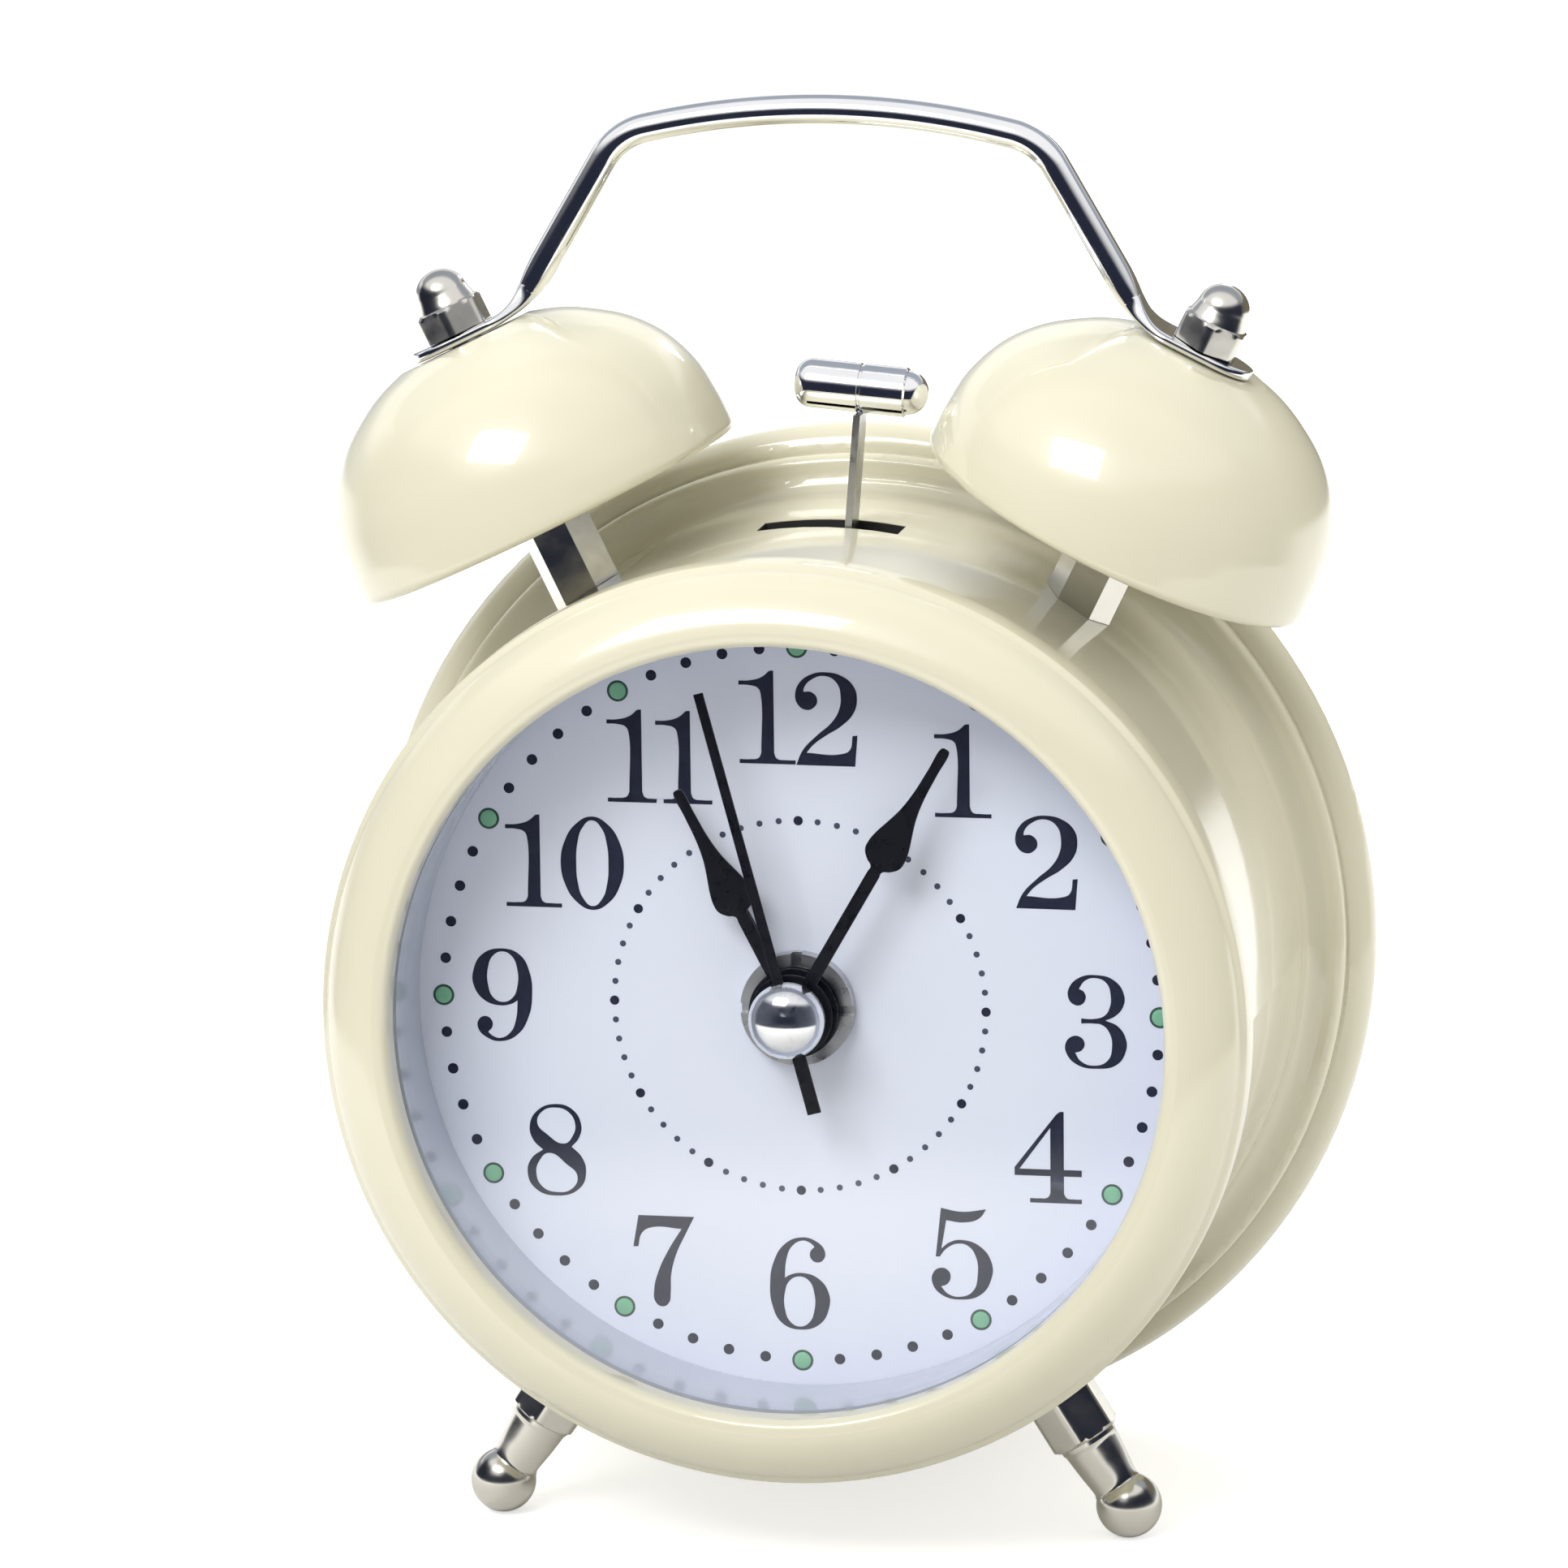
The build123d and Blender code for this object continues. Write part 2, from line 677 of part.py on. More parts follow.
core_hole = Box(coil_long + cut_over, stator_thick + 2 * seat_fit, core_wide + 2 * seat_fit)
coil -= Pos(coil_x, stator_y + stator_thick / 2, coil_z) * core_hole
nodes["coil"] = coil
board = Pos(board_x, board_z) * Rectangle(board_wide, board_high)
nodes["circuit_board"] = slab(board, board_y, board_y + board_thick)
crystal_y = board_y + board_thick + crystal_r
nodes["crystal"] = Pos(board_x, crystal_y, board_z) * Rot(0, 90, 0) * Cylinder(crystal_r, crystal_long)


# Hands
def spade(length, leaf_from, angle, y, bore, hub):
    """A spade hand: hub, narrow shaft, leaf and long point."""
    right = []
    for at, half in zip(leaf_at_shares, leaf_half_shares):
        right.append((half * leaf_half, leaf_from + at * (length - leaf_from)))
    left = [(-x, z) for x, z in reversed(right)]
    edges = [Line((-shaft_half, 0), (shaft_half, 0)), Line((shaft_half, 0), right[0])]
    edges += [Spline(*right), Line(right[-1], left[0]), Spline(*left)]
    edges += [Line(left[-1], (-shaft_half, 0))]
    face = make_face(edges) + Circle(hub) - Circle(bore)
    return Rot(0, angle, 0) * slab(face, y, y + hand_thick)


def bar_hand(length, tail, wide, tail_wide, angle, y, bore, hub):
    """A straight hand with a tail behind its hub."""
    face = Pos(0, length / 2) * Rectangle(wide, length) + Circle(hub)
    if tail > 0:
        face += Pos(0, -tail / 2) * Rectangle(tail_wide, tail)
    return Rot(0, angle, 0) * slab(face - Circle(bore), y, y + hand_thick)


tube_fit = seat_fit
nodes["alarm_hand"] = bar_hand(
    alarm_length, 0.0, alarm_wide, alarm_wide, alarm_angle, alarm_hand_y, alarm_tube_r + tube_fit, alarm_hub_r
)
nodes["hour_hand"] = spade(
    hour_length, hour_leaf_from, hour_angle, hour_hand_y, hour_tube_r + tube_fit, hour_hub_r
)
nodes["minute_hand"] = spade(
    minute_length, minute_leaf_from, minute_angle, minute_hand_y, minute_tube_r + tube_fit, minute_hub_r
)
nodes["second_hand"] = bar_hand(
    second_length, second_tail, second_wide, second_tail_wide, second_angle, second_hand_y, arbor_r + tube_fit,
    second_hub_r
)
cap_back_y = second_hand_y - seat_fit
cap_ball_r = (cap_r**2 + cap_high**2) / (2 * cap_high)
cap_ball = Pos(0, cap_back_y - cap_high + cap_ball_r, 0) * Sphere(cap_ball_r)
second_cap = rod(cap_r, cap_back_y - cap_high - cut_over, cap_back_y) & cap_ball
nodes["second_cap"] = second_cap


# Setting knobs on their long stems
def knob(at, stem_front_y):
    """A fluted knob behind the cover, with the stem that reaches into the movement."""
    face = Circle(knob_r)
    for i in range(knob_flutes):
        face -= Rot(0, 0, i * 360.0 / knob_flutes) * Pos(knob_r, 0) * Circle(knob_flute_r)
    body = slab(Pos(*at) * face, knob_front_y, knob_front_y + knob_deep)
    return body + rod(stem_r, stem_front_y, knob_front_y, *at)


nodes["time_knob"] = knob(motion_at, layer_motion_y + wheel_thick + seat_fit)
nodes["alarm_knob"] = knob(alarm_at, layer_alarm_y + wheel_thick + seat_fit)

# Striker plate on four pillars behind the movement
gear_back_y = gear_y + gear_thick
crank_z = hammer_pivot_z - crank_drop
crank_at = (0.0, crank_z)
motor_reach = striker_module * (crank_teeth + motor_teeth) / 2
motor_at = polar(motor_reach, motor_dir, crank_at)
plate_mid = ((striker_left + striker_right) / 2, (striker_low + striker_high) / 2)
plate_face = Pos(*plate_mid) * RectangleRounded(
    striker_right - striker_left, striker_high - striker_low, box_corner
)
striker_plate = slab(plate_face, striker_plate_y, striker_plate_back_y)
plate_holes = [(hammer_pin_r + seat_fit, (0.0, hammer_pivot_z)), (crank_axle_r + seat_fit, crank_at)]
plate_holes += [(motor_boss_r + seat_fit, motor_at)]
plate_holes += [(stem_r + stem_clear, spot) for spot in stem_spots]
plate_holes += [(pillar_screw_r + seat_fit, spot) for spot in pillar_spots]
for hole_r, spot in plate_holes:
    striker_plate -= rod(hole_r, striker_plate_y - cut_over, striker_plate_back_y + cut_over, *spot)
nodes["striker_plate"] = striker_plate
pillars = Part()
striker_screws = Part()
for spot in pillar_spots:
    pillars += pipe(pillar_screw_r + seat_fit, pillar_r, box_back_y, striker_plate_y, *spot)
    one = screw(
        pillar_screw_r, striker_plate_back_y - box_floor_y - 2 * seat_fit, pillar_screw_head_r, pillar_screw_head
    )
    striker_screws += Pos(spot[0], striker_plate_back_y, spot[1]) * Rot(-90, 0, 0) * one
nodes["striker_pillars"] = pillars
nodes["striker_screws"] = striker_screws

# Hammer pin, crank axle, motor with its pinion, crank wheel
hammer_front_y = strike_y - hammer_deep / 2
hammer_back_y = strike_y + hammer_deep / 2
pin_front_y = hammer_front_y - hole_play
hammer_pin = rod(hammer_pin_r, pin_front_y, striker_plate_back_y, 0.0, hammer_pivot_z)
hammer_pin += rod(hammer_pin_head_r, pin_front_y - hammer_pin_head, pin_front_y, 0.0, hammer_pivot_z)
nodes["hammer_pin"] = hammer_pin
nodes["crank_axle"] = rod(crank_axle_r, gear_y, striker_plate_back_y, *crank_at)
motor_front_y = striker_plate_back_y + seat_fit
motor_can = rod(motor_r, motor_front_y, motor_front_y + motor_long, *motor_at)
motor_can = fillet(motor_can.edges().filter_by(GeomType.CIRCLE), motor_round)
motor_can += rod(motor_boss_r, striker_plate_y, motor_front_y + motor_round, *motor_at)
shaft_end_y = motor_front_y + motor_shaft_in
motor_can -= rod(motor_shaft_r + run_fit, striker_plate_y - cut_over, shaft_end_y + run_fit, *motor_at)
nodes["striker_motor"] = motor_can
motor_phase = meshed(0.0, motor_dir, crank_teeth, motor_teeth)
motor_pinion = gear(motor_teeth, striker_module, motor_phase, gear_y, gear_thick, motor_at)
motor_pinion += rod(motor_shaft_r, gear_y, shaft_end_y, *motor_at)
nodes["motor_pinion"] = motor_pinion
crank_wheel = gear(crank_teeth, striker_module, 0.0, gear_y, gear_thick, crank_at, crank_axle_r + run_fit)
pin_spot = (crank_at[0] - crank_throw, crank_at[1])
crank_wheel += rod(crank_pin_r, hammer_front_y, gear_y, *pin_spot)
nodes["crank_wheel"] = crank_wheel

# Hammer: drawn upright on its pivot, then leaned to the right as it rests
hammer_frame = Pos(0, 0, hammer_pivot_z) * Rot(0, hammer_lean, 0)
fork_back_y = hammer_front_y + fork_thick
fork_out = fork_half + fork_prong
fork_face = Pos(0, -fork_bridge / 2) * Rectangle(2 * fork_out, fork_bridge)
for side in (-1, 1):
    prong_x = side * (fork_half + fork_prong / 2)
    fork_face += Pos(prong_x, -fork_long / 2) * Rectangle(fork_prong, fork_long)
hammer_arm = rod(hammer_hub_r, hammer_front_y, hammer_back_y) + slab(fork_face, hammer_front_y, fork_back_y)
strip_long = head_at - head_r - seat_fit
hammer_arm += Pos(0, strike_y, strip_long / 2) * Box(strip_thick, hammer_deep, strip_long)
hammer_arm -= rod(hammer_pin_r + run_fit, hammer_front_y - cut_over, hammer_back_y + cut_over)
nodes["hammer_arm"] = hammer_frame * hammer_arm
head = fillet(Cylinder(head_r, head_long).edges(), head_round)
head -= Cylinder(head_r + cut_over, head_seam) - Cylinder(head_r - head_seam_deep, head_seam)
head = Pos(0, strike_y, head_at) * Rot(0, 90, 0) * head
nodes["hammer_head"] = hammer_frame * head

# Rear cover with the battery tray moulded on
cover = rod(cover_r, cover_y, cover_back_y)
cover = fillet(cover.edges().group_by(Axis.Y)[-1], cover_edge_round)
tray_out = tray_half + tray_wall
tray_out_long = tray_half_long + tray_wall
tray_face = Pos(0, battery_z) * Rectangle(2 * tray_out_long, 2 * tray_out)
cover += slab(tray_face, tray_front_y - tray_wall, cover_y)
tray_hole = Pos(0, battery_z) * Rectangle(2 * tray_half_long, 2 * tray_half)
cover -= slab(tray_hole, tray_front_y, cover_back_y + cut_over)
ledge_face = Pos(0, battery_z) * Rectangle(
    2 * (tray_half_long + door_ledge), 2 * (tray_half + door_ledge)
)
door_y = cover_back_y - door_thick
cover -= slab(ledge_face, door_y, cover_back_y + cut_over)
for spot in stem_spots:
    cover -= rod(stem_r + hole_play, cover_y - cut_over, cover_back_y + cut_over, *spot)
screw_spots = [polar(screw_ring_r, angle) for angle in lug_angles]
for spot in screw_spots:
    cover -= rod(cover_screw_r + run_fit, cover_y - cut_over, cover_back_y + cut_over, *spot)
slot_long = switch_travel + switch_stem + 2 * hole_play
slot_high = switch_stem_high + 2 * hole_play
switch_slot = Pos(0, switch_z) * Rectangle(slot_long, slot_high)
cover -= slab(switch_slot, cover_y - cut_over, cover_back_y + cut_over)
nodes["rear_cover"] = cover
cover_screws = Part()
for spot in screw_spots:
    one = screw(cover_screw_r, cover_screw_long, cover_screw_head_r, cover_screw_head)
    cover_screws += Pos(spot[0], cover_back_y, spot[1]) * Rot(-90, 0, 0) * one
nodes["cover_screws"] = cover_screws

# Battery door with a ribbed thumb grip
door_face = Pos(0, battery_z) * Rectangle(
    2 * (tray_half_long + door_ledge - door_gap), 2 * (tray_half + door_ledge - door_gap)
)
battery_door = slab(door_face, door_y + seat_fit, cover_back_y)
for i in (-1, 0, 1):
    rib_z = battery_z + tray_half / 2 + i * door_grip_step
    rib = Pos(0, rib_z) * Rectangle(door_grip_wide, door_grip)
    battery_door += slab(rib, cover_back_y, cover_back_y + door_grip)
nodes["battery_door"] = battery_door

# Battery along x, plus end to the right, and its two contacts
battery_frame = Pos(0, battery_y, battery_z) * Rot(0, 90, 0)
cell_long = battery_long - battery_nub
cell = fillet(Cylinder(battery_r, cell_long).edges(), battery_round)
cell = Pos(0, 0, -battery_nub / 2) * cell
nub_at = cell_long / 2 - battery_nub / 2
cell += Pos(0, 0, nub_at + battery_nub / 2) * Cylinder(battery_nub_r, battery_nub)
nodes["battery"] = battery_frame * cell
spring_start = -tray_half_long + spring_wire_r + spring_end
spring_high = tray_end - 2 * spring_wire_r - 2 * spring_end
coil_line = Helix(spring_high / spring_turns, spring_high, spring_r)
wire_face = Plane(coil_line @ 0, z_dir=coil_line % 0) * Circle(spring_wire_r)
spring = sweep(wire_face, path=coil_line)
nodes["contact_spring"] = Pos(spring_start, battery_y, battery_z) * Rot(0, 90, 0) * spring
contact_x = tray_half_long - contact_thick / 2 - seat_fit
contact = Pos(contact_x, battery_y, battery_z) * Box(contact_thick, contact_wide, contact_high)
bump_long = tray_end - contact_thick - 2 * seat_fit
bump = Pos(battery_long / 2 + seat_fit + bump_long / 2, battery_y, battery_z) * Rot(0, 90, 0)
contact += bump * Cylinder(contact_bump_r, bump_long)
nodes["contact_plate"] = contact

# Alarm on and off slide switch behind the cover
switch_body = Pos(0, switch_z) * Rectangle(2 * switch_half, switch_high)
switch_front_y = cover_y - seat_fit - switch_deep
switch_body = slab(switch_body, switch_front_y, cover_y - seat_fit)
stem_in = switch_deep / 2
pocket = Pos(0, switch_z) * Rectangle(slot_long, slot_high)
switch_body -= slab(pocket, cover_y - stem_in - hole_play, cover_y + cut_over)
nodes["switch_body"] = switch_body
slide_x = -switch_travel / 2
slider = slab(Pos(slide_x, switch_z) * Rectangle(switch_stem, switch_stem_high), cover_y - stem_in, knob_front_y)
cap_face = Pos(slide_x, switch_z) * RectangleRounded(switch_cap, switch_cap_high, switch_rib)
slider += slab(cap_face, knob_front_y, knob_front_y + switch_cap_deep)
rib = Pos(slide_x, switch_z) * Rectangle(switch_rib, switch_cap_high)
slider += slab(rib, knob_front_y, knob_front_y + switch_cap_deep + switch_rib)
nodes["switch_slider"] = slider


# Bells, posts and their nuts
def bell_body():
    """A thin dome about its own axis, rim at its rim height, hole for the stud at the top."""
    outer = [(bell_r, bell_rim_s + bell_lip)]
    inner = [(bell_r - bell_wall, bell_rim_s)]
    thin = 1 - bell_wall / bell_high
    for h, r in zip(bell_heights_share, bell_radii_share):
        outer.append((r * bell_r, bell_rim_s + h * bell_high))
        inner.append((r * bell_r - bell_wall, bell_rim_s + h * thin * bell_high))
    outer.append((bell_flat_r, bell_top_s))
    inner.append((bell_flat_r - bell_wall, bell_top_s - bell_wall))
    hole = stud_r + run_fit
    to_p = [Vector(r, 0, s) for r, s in outer]
    to_q = [Vector(r, 0, s) for r, s in inner]
    edges = [Spline(*to_p), Line(to_p[-1], Vector(hole, 0, bell_top_s))]
    edges += [Line(Vector(hole, 0, bell_top_s), Vector(hole, 0, bell_top_s - bell_wall))]
    edges += [Line(Vector(hole, 0, bell_top_s - bell_wall), to_q[-1]), Spline(*reversed(to_q))]
    low = Vector(bell_r, 0, bell_rim_s)
    edges += [Line(to_q[0], low), Line(low, to_p[0])]
    return revolve(make_face(edges), Axis.Z)


def stud_nut(s):
    """A plain hexagon nut on a stud."""
    ring = hexagon(hex_flat) - Circle(stud_r + seat_fit)
    return Pos(0, 0, s) * extrude(ring, amount=stud_nut_thick)


bell = bell_body()
post_s = math.sqrt(case_r**2 - bell_offset**2)
post_top_s = bell_top_s - bell_wall - seat_fit
drum_block = rod(case_r + seat_fit, -2 * case_r, 2 * case_r)
acorn_nuts = Part()
stud_nuts = Part()
for side, frame in zip(("left", "right"), bell_frames):
    nodes["bell_" + side] = frame * bell
    post = Pos(0, 0, case_in_r - stud_in / 2) * extrude(
        hexagon(hex_flat), amount=post_top_s - case_in_r + stud_in / 2
    )
    post = frame * post - drum_block
    stud_low_s = post_s - stud_in
    stud = Pos(0, 0, stud_low_s) * extrude(Circle(stud_r), amount=tongue_top_s + acorn_stud - stud_low_s)
    nodes["bell_post_" + side] = post + frame * stud
    stud_nuts += frame * stud_nut(post_s - stud_nut_drop - stud_nut_thick + case_wall)
    nut = Pos(0, 0, tongue_top_s + seat_fit) * extrude(hexagon(hex_flat), amount=acorn_hex)
    dome_s = tongue_top_s + acorn_high - acorn_dome_r
    nut += Pos(0, 0, tongue_top_s + acorn_hex) * extrude(
        Circle(acorn_dome_r), amount=dome_s - tongue_top_s - acorn_hex
    )
    nut += Pos(0, 0, dome_s) * Sphere(acorn_dome_r)
    nut -= Pos(0, 0, tongue_top_s - cut_over) * extrude(
        Circle(stud_r + seat_fit), amount=acorn_stud + seat_fit + cut_over
    )
    acorn_nuts += frame * nut
nodes["acorn_nuts"] = acorn_nuts

# Handle: a bent round wire with a flattened tongue under each acorn nut
foot_local = (Pos(0, 0, 0) * bell_frames[1] * Pos(-tongue_in, 0, handle_foot_s)).position
arch_z = handle_top_z - handle_arch_r
arch_end = polar(handle_arch_r, 90.0 - handle_arch_turn, (0.0, arch_z))
shoulder_at = polar(handle_arch_r - handle_shoulder_r, 90.0 - handle_arch_turn, (0.0, arch_z))
foot_dx = foot_local.X - shoulder_at[0]
foot_dz = foot_local.Z - shoulder_at[1]
foot_turn = math.acos(handle_shoulder_r / math.hypot(foot_dx, foot_dz))
leg_turn = math.degrees(math.atan2(foot_dz, foot_dx) + foot_turn)
leg_end = polar(handle_shoulder_r, leg_turn, shoulder_at)
shoulder_mid = polar(handle_shoulder_r, (leg_turn + 90.0 - handle_arch_turn) / 2, shoulder_at)
arch_mid = polar(handle_arch_r, 90.0 - handle_arch_turn / 2, (0.0, arch_z))
half_line = [(foot_local.X, foot_local.Z), leg_end, shoulder_mid, arch_end, arch_mid, (0.0, handle_top_z)]
half_points = [Vector(x, strike_y, z) for x, z in half_line]
wire_edges = [Line(*half_points[:2]), ThreePointArc(*half_points[1:4]), ThreePointArc(*half_points[3:])]
wire_line = Wire(wire_edges)
half_handle = sweep(Plane(wire_line @ 0, z_dir=wire_line % 0) * Circle(wire_r), path=wire_line)
tongue = Pos((tongue_out - tongue_in) / 2, 0) * SlotOverall(tongue_in + tongue_out, tongue_wide)
tongue = Pos(0, 0, bell_top_s + seat_fit) * extrude(tongue, amount=tongue_thick - seat_fit)
half_handle += bell_frames[1] * tongue
half_handle += bell_frames[1] * Pos(-tongue_in, 0, handle_foot_s) * Rot(90, 0, 0) * Sphere(foot_r)
stud_hole = Cylinder(stud_r + run_fit, 2 * tongue_thick + cut_over)
half_handle -= bell_frames[1] * Pos(0, 0, bell_top_s) * stud_hole
handle = half_handle + mirror(half_handle, about=Plane.YZ)
nodes["handle"] = handle

# Legs: hexagon, tapered neck and ball, held by a nut inside the case
for side, frame in zip(("left", "right"), leg_frames):
    leg = Pos(0, 0, case_in_r - stud_in / 2) * extrude(
        hexagon(leg_hex_flat), amount=leg_hex_end - case_in_r + stud_in / 2
    )
    leg = frame * leg - drum_block
    neck = [(0, case_r + case_wall), (leg_body_r, case_r + case_wall), (leg_body_r, leg_hex_end + leg_collar)]
    neck += [(leg_neck_r, leg_neck_s), (leg_neck_r, leg_ball_s), (0, leg_ball_s)]
    turned_leg = turned(neck) + Pos(0, 0, leg_ball_s) * Sphere(leg_ball_r)
    stud_low_s = case_r - stud_in
    turned_leg += Pos(0, 0, stud_low_s) * extrude(Circle(stud_r), amount=leg_hex_end - stud_low_s)
    nodes["leg_" + side] = leg + frame * turned_leg
    stud_nuts += frame * stud_nut(case_r - stud_nut_drop - stud_nut_thick + case_wall)
nodes["stud_nuts"] = stud_nuts

# Stance: the clock leans back until both balls and the rear bead touch the floor
leg_rad = math.radians(leg_angle)
ball_z = -leg_ball_s * math.cos(leg_rad)
step_y = bead_y - leg_y
step_z = -bead_centre_r - ball_z
span = math.hypot(step_y, step_z)
lean = math.degrees(math.asin((leg_ball_r - bead_tube) / span) + math.atan2(step_z, step_y))
lean_rad = math.radians(lean)
lift = leg_y * math.sin(lean_rad) - ball_z * math.cos(lean_rad) + leg_ball_r
tilted = Rot(-lean, 0, 0)
front_box = (tilted * nodes["bezel"]).bounding_box()
back_box = (tilted * nodes["case_shell"]).bounding_box()
shift = -(front_box.min.Y + back_box.max.Y) / 2
stand = Pos(0, shift, lift) * tilted

for name, shape in nodes.items():
    export_step(stand * shape, "parts/" + name + ".step")

# Places of the joints in the standing frame, for the written record
joint_spots = {
    "centre": (0.0, 0.0, 0.0),
    "motion": (motion_at[0], 0.0, motion_at[1]),
    "alarm_knob": (alarm_at[0], 0.0, alarm_at[1]),
    "third": (third_at[0], 0.0, third_at[1]),
    "step": (step_at[0], 0.0, step_at[1]),
    "rotor": (rotor_at[0], 0.0, rotor_at[1]),
    "hammer": (0.0, strike_y, hammer_pivot_z),
    "crank": (crank_at[0], gear_y, crank_at[1]),
    "motor": (motor_at[0], gear_y, motor_at[1]),
}
print("lean", lean, "shift", shift, "lift", lift)
for name, spot in joint_spots.items():
    place = (stand * Pos(*spot)).position
    print(name, place.X, place.Y, place.Z)
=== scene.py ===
# %% [markdown]
# # A twin bell alarm clock
# This lesson dresses a clock that was built as separate solids: case, bells, hands, wheels and the rest.
# The solids are the frame. We load them first and never move them. Everything that follows adds looks:
# finishes made of shader nodes, the print on the dial, finer turned surfaces, a floor, lamps and a camera.

# %% Load the frame
import bpy
import bmesh
import json
import math
from mathutils import Matrix, Vector


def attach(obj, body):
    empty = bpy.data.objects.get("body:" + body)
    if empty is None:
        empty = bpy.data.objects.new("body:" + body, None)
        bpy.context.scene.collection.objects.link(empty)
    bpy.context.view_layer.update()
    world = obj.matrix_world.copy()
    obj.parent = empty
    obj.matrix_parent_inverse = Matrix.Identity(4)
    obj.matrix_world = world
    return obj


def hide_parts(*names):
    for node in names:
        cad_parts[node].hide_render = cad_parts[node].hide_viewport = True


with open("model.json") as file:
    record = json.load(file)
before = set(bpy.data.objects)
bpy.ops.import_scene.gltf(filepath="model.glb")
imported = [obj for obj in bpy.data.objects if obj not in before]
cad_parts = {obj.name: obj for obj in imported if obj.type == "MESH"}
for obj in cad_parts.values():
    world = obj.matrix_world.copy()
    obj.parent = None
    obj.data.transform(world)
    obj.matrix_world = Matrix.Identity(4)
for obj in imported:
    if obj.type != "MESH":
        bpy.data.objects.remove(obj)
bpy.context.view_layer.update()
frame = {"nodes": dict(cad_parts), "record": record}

scene = bpy.context.scene
node_objects = frame["nodes"]

# %% [markdown]
# ## The dial's own frame
# The clock leans back on its feet, so its dial isn't parallel to any world axis. The joint of the second
# hand tells where the middle of the dial is and which way its axis points. From those two we make one
# matrix, so that all later pieces can be drawn flat, in millimetres, as a clockmaker would draw them.

# %% Dial frame
mm = 0.001
second_joint = [j for j in frame["record"]["behaviour"]["joints"] if j["name"] == "second_spin"][0]
dial_middle = Vector(second_joint["pos_m"])
dial_depth = Vector(second_joint["axis"]).normalized()
dial_right = Vector((1, 0, 0))
dial_up = dial_right.cross(dial_depth)
dial_turn = Matrix((dial_right, dial_depth, dial_up)).transposed().to_4x4()
dial_frame = Matrix.Translation(dial_middle) @ dial_turn
print_frame = dial_frame @ Matrix(((1, 0, 0, 0), (0, 0, -1, 0), (0, 1, 0, 0), (0, 0, 0, 1)))
print("dial middle", tuple(round(v, 5) for v in dial_middle))

# %% [markdown]
# ## Camera
# The photograph was taken with a long lens from the right and a little above. A long lens keeps circles
# nearly round. We give the camera its place and its direction as plain vectors, which is exact, instead of
# turning it by hand until it looks right.

# %% Camera
camera_place = Vector((0.168733, -0.873561, 0.302389))
camera_look = Vector((-0.18691, 0.947548, -0.259271)).normalized()
camera_up = Vector((-0.02788, 0.258702, 0.965551))
camera_right = camera_look.cross(camera_up).normalized()
camera_top = camera_right.cross(camera_look).normalized()
camera_turn = Matrix((camera_right, camera_top, -camera_look)).transposed().to_4x4()
camera_data = bpy.data.cameras.new("photo_camera")
camera_data.sensor_width = 36.0
camera_data.lens = 244.53
camera_data.clip_start = 0.05
camera = bpy.data.objects.new("photo_camera", camera_data)
scene.collection.objects.link(camera)
camera.matrix_world = Matrix.Translation(camera_place) @ camera_turn
scene.camera = camera
print("camera lens", camera_data.lens)

# %% [markdown]
# ## Helpers for outlines
# An outline should be written with few numbers and still be round. `flowing` puts a smooth line through a
# few measured points, `arc` follows an ellipse, and `circle` makes one ring of points for a turned piece.


# %% Helpers for outlines
def flowing(points, steps=8):
    """A smooth line through the points, with a few steps between each two."""
    line = []
    for i in range(len(points) - 1):
        before, after = points[max(i - 1, 0)], points[min(i + 2, len(points) - 1)]
        for k in range(steps):
            t = k / steps
            spot = []
            for q0, q1, q2, q3 in zip(before, points[i], points[i + 1], after):
                bend = 2 * q0 - 5 * q1 + 4 * q2 - q3
                twist = -q0 + 3 * q1 - 3 * q2 + q3
                spot.append(0.5 * (2 * q1 + (q2 - q0) * t + bend * t * t + twist * t * t * t))
            line.append(tuple(spot))
    return line + [tuple(points[-1])]


def arc(middle, r_across, r_up, start, end, steps=10):
    """Points on an ellipse, from one angle to another in degrees."""
    angles = [math.radians(start + (end - start) * k / steps) for k in range(steps + 1)]
    return [(middle[0] + r_across * math.cos(a), middle[1] + r_up * math.sin(a)) for a in angles]


def circle(r, h, count, x=0.0, y=0.0):
    """A level ring of points, given in millimetres."""
    angles = [2 * math.pi * k / count for k in range(count)]
    return [((x + r * math.cos(a)) * mm, (y + r * math.sin(a)) * mm, h * mm) for a in angles]


def moved(x=0.0, y=0.0, z=0.0):
    """A shift in millimetres."""
    return Matrix.Translation((x * mm, y * mm, z * mm))


print("outlines ready")

# %% [markdown]
# ## Helpers for meshes
# Most pieces here are turned on a lathe in real life. `lathe` does the same with a mesh: it takes a closed
# outline of radius and height and spins it. `skinned` draws a skin over a row of rings, and `stamped` cuts
# a flat shape from sheet.

# %% Helpers for meshes
merge_reach = 1e-7
speck = 1e-8


def skinned(name, rings, ends=True):
    """A mesh with a skin over rings that all have the same count of points, closed at both ends."""
    count = len(rings[0])
    verts = [point for ring in rings for point in ring]
    faces = []
    for low in range(0, len(verts) - count, count):
        high = low + count
        for k in range(count):
            n = (k + 1) % count
            faces.append((low + k, low + n, high + n, high + k))
    if ends:
        faces += [tuple(range(count - 1, -1, -1)), tuple(range(len(verts) - count, len(verts)))]
    mesh = bpy.data.meshes.new(name)
    mesh.from_pydata(verts, [], faces)
    return mesh


def cleaned(mesh):
    """Merge points that fall together and turn all faces outwards."""
    build = bmesh.new()
    build.from_mesh(mesh)
    bmesh.ops.remove_doubles(build, verts=build.verts, dist=merge_reach)
    bmesh.ops.dissolve_degenerate(build, edges=build.edges, dist=speck)
    bmesh.ops.recalc_face_normals(build, faces=build.faces)
    build.to_mesh(mesh)
    build.free()
    return mesh


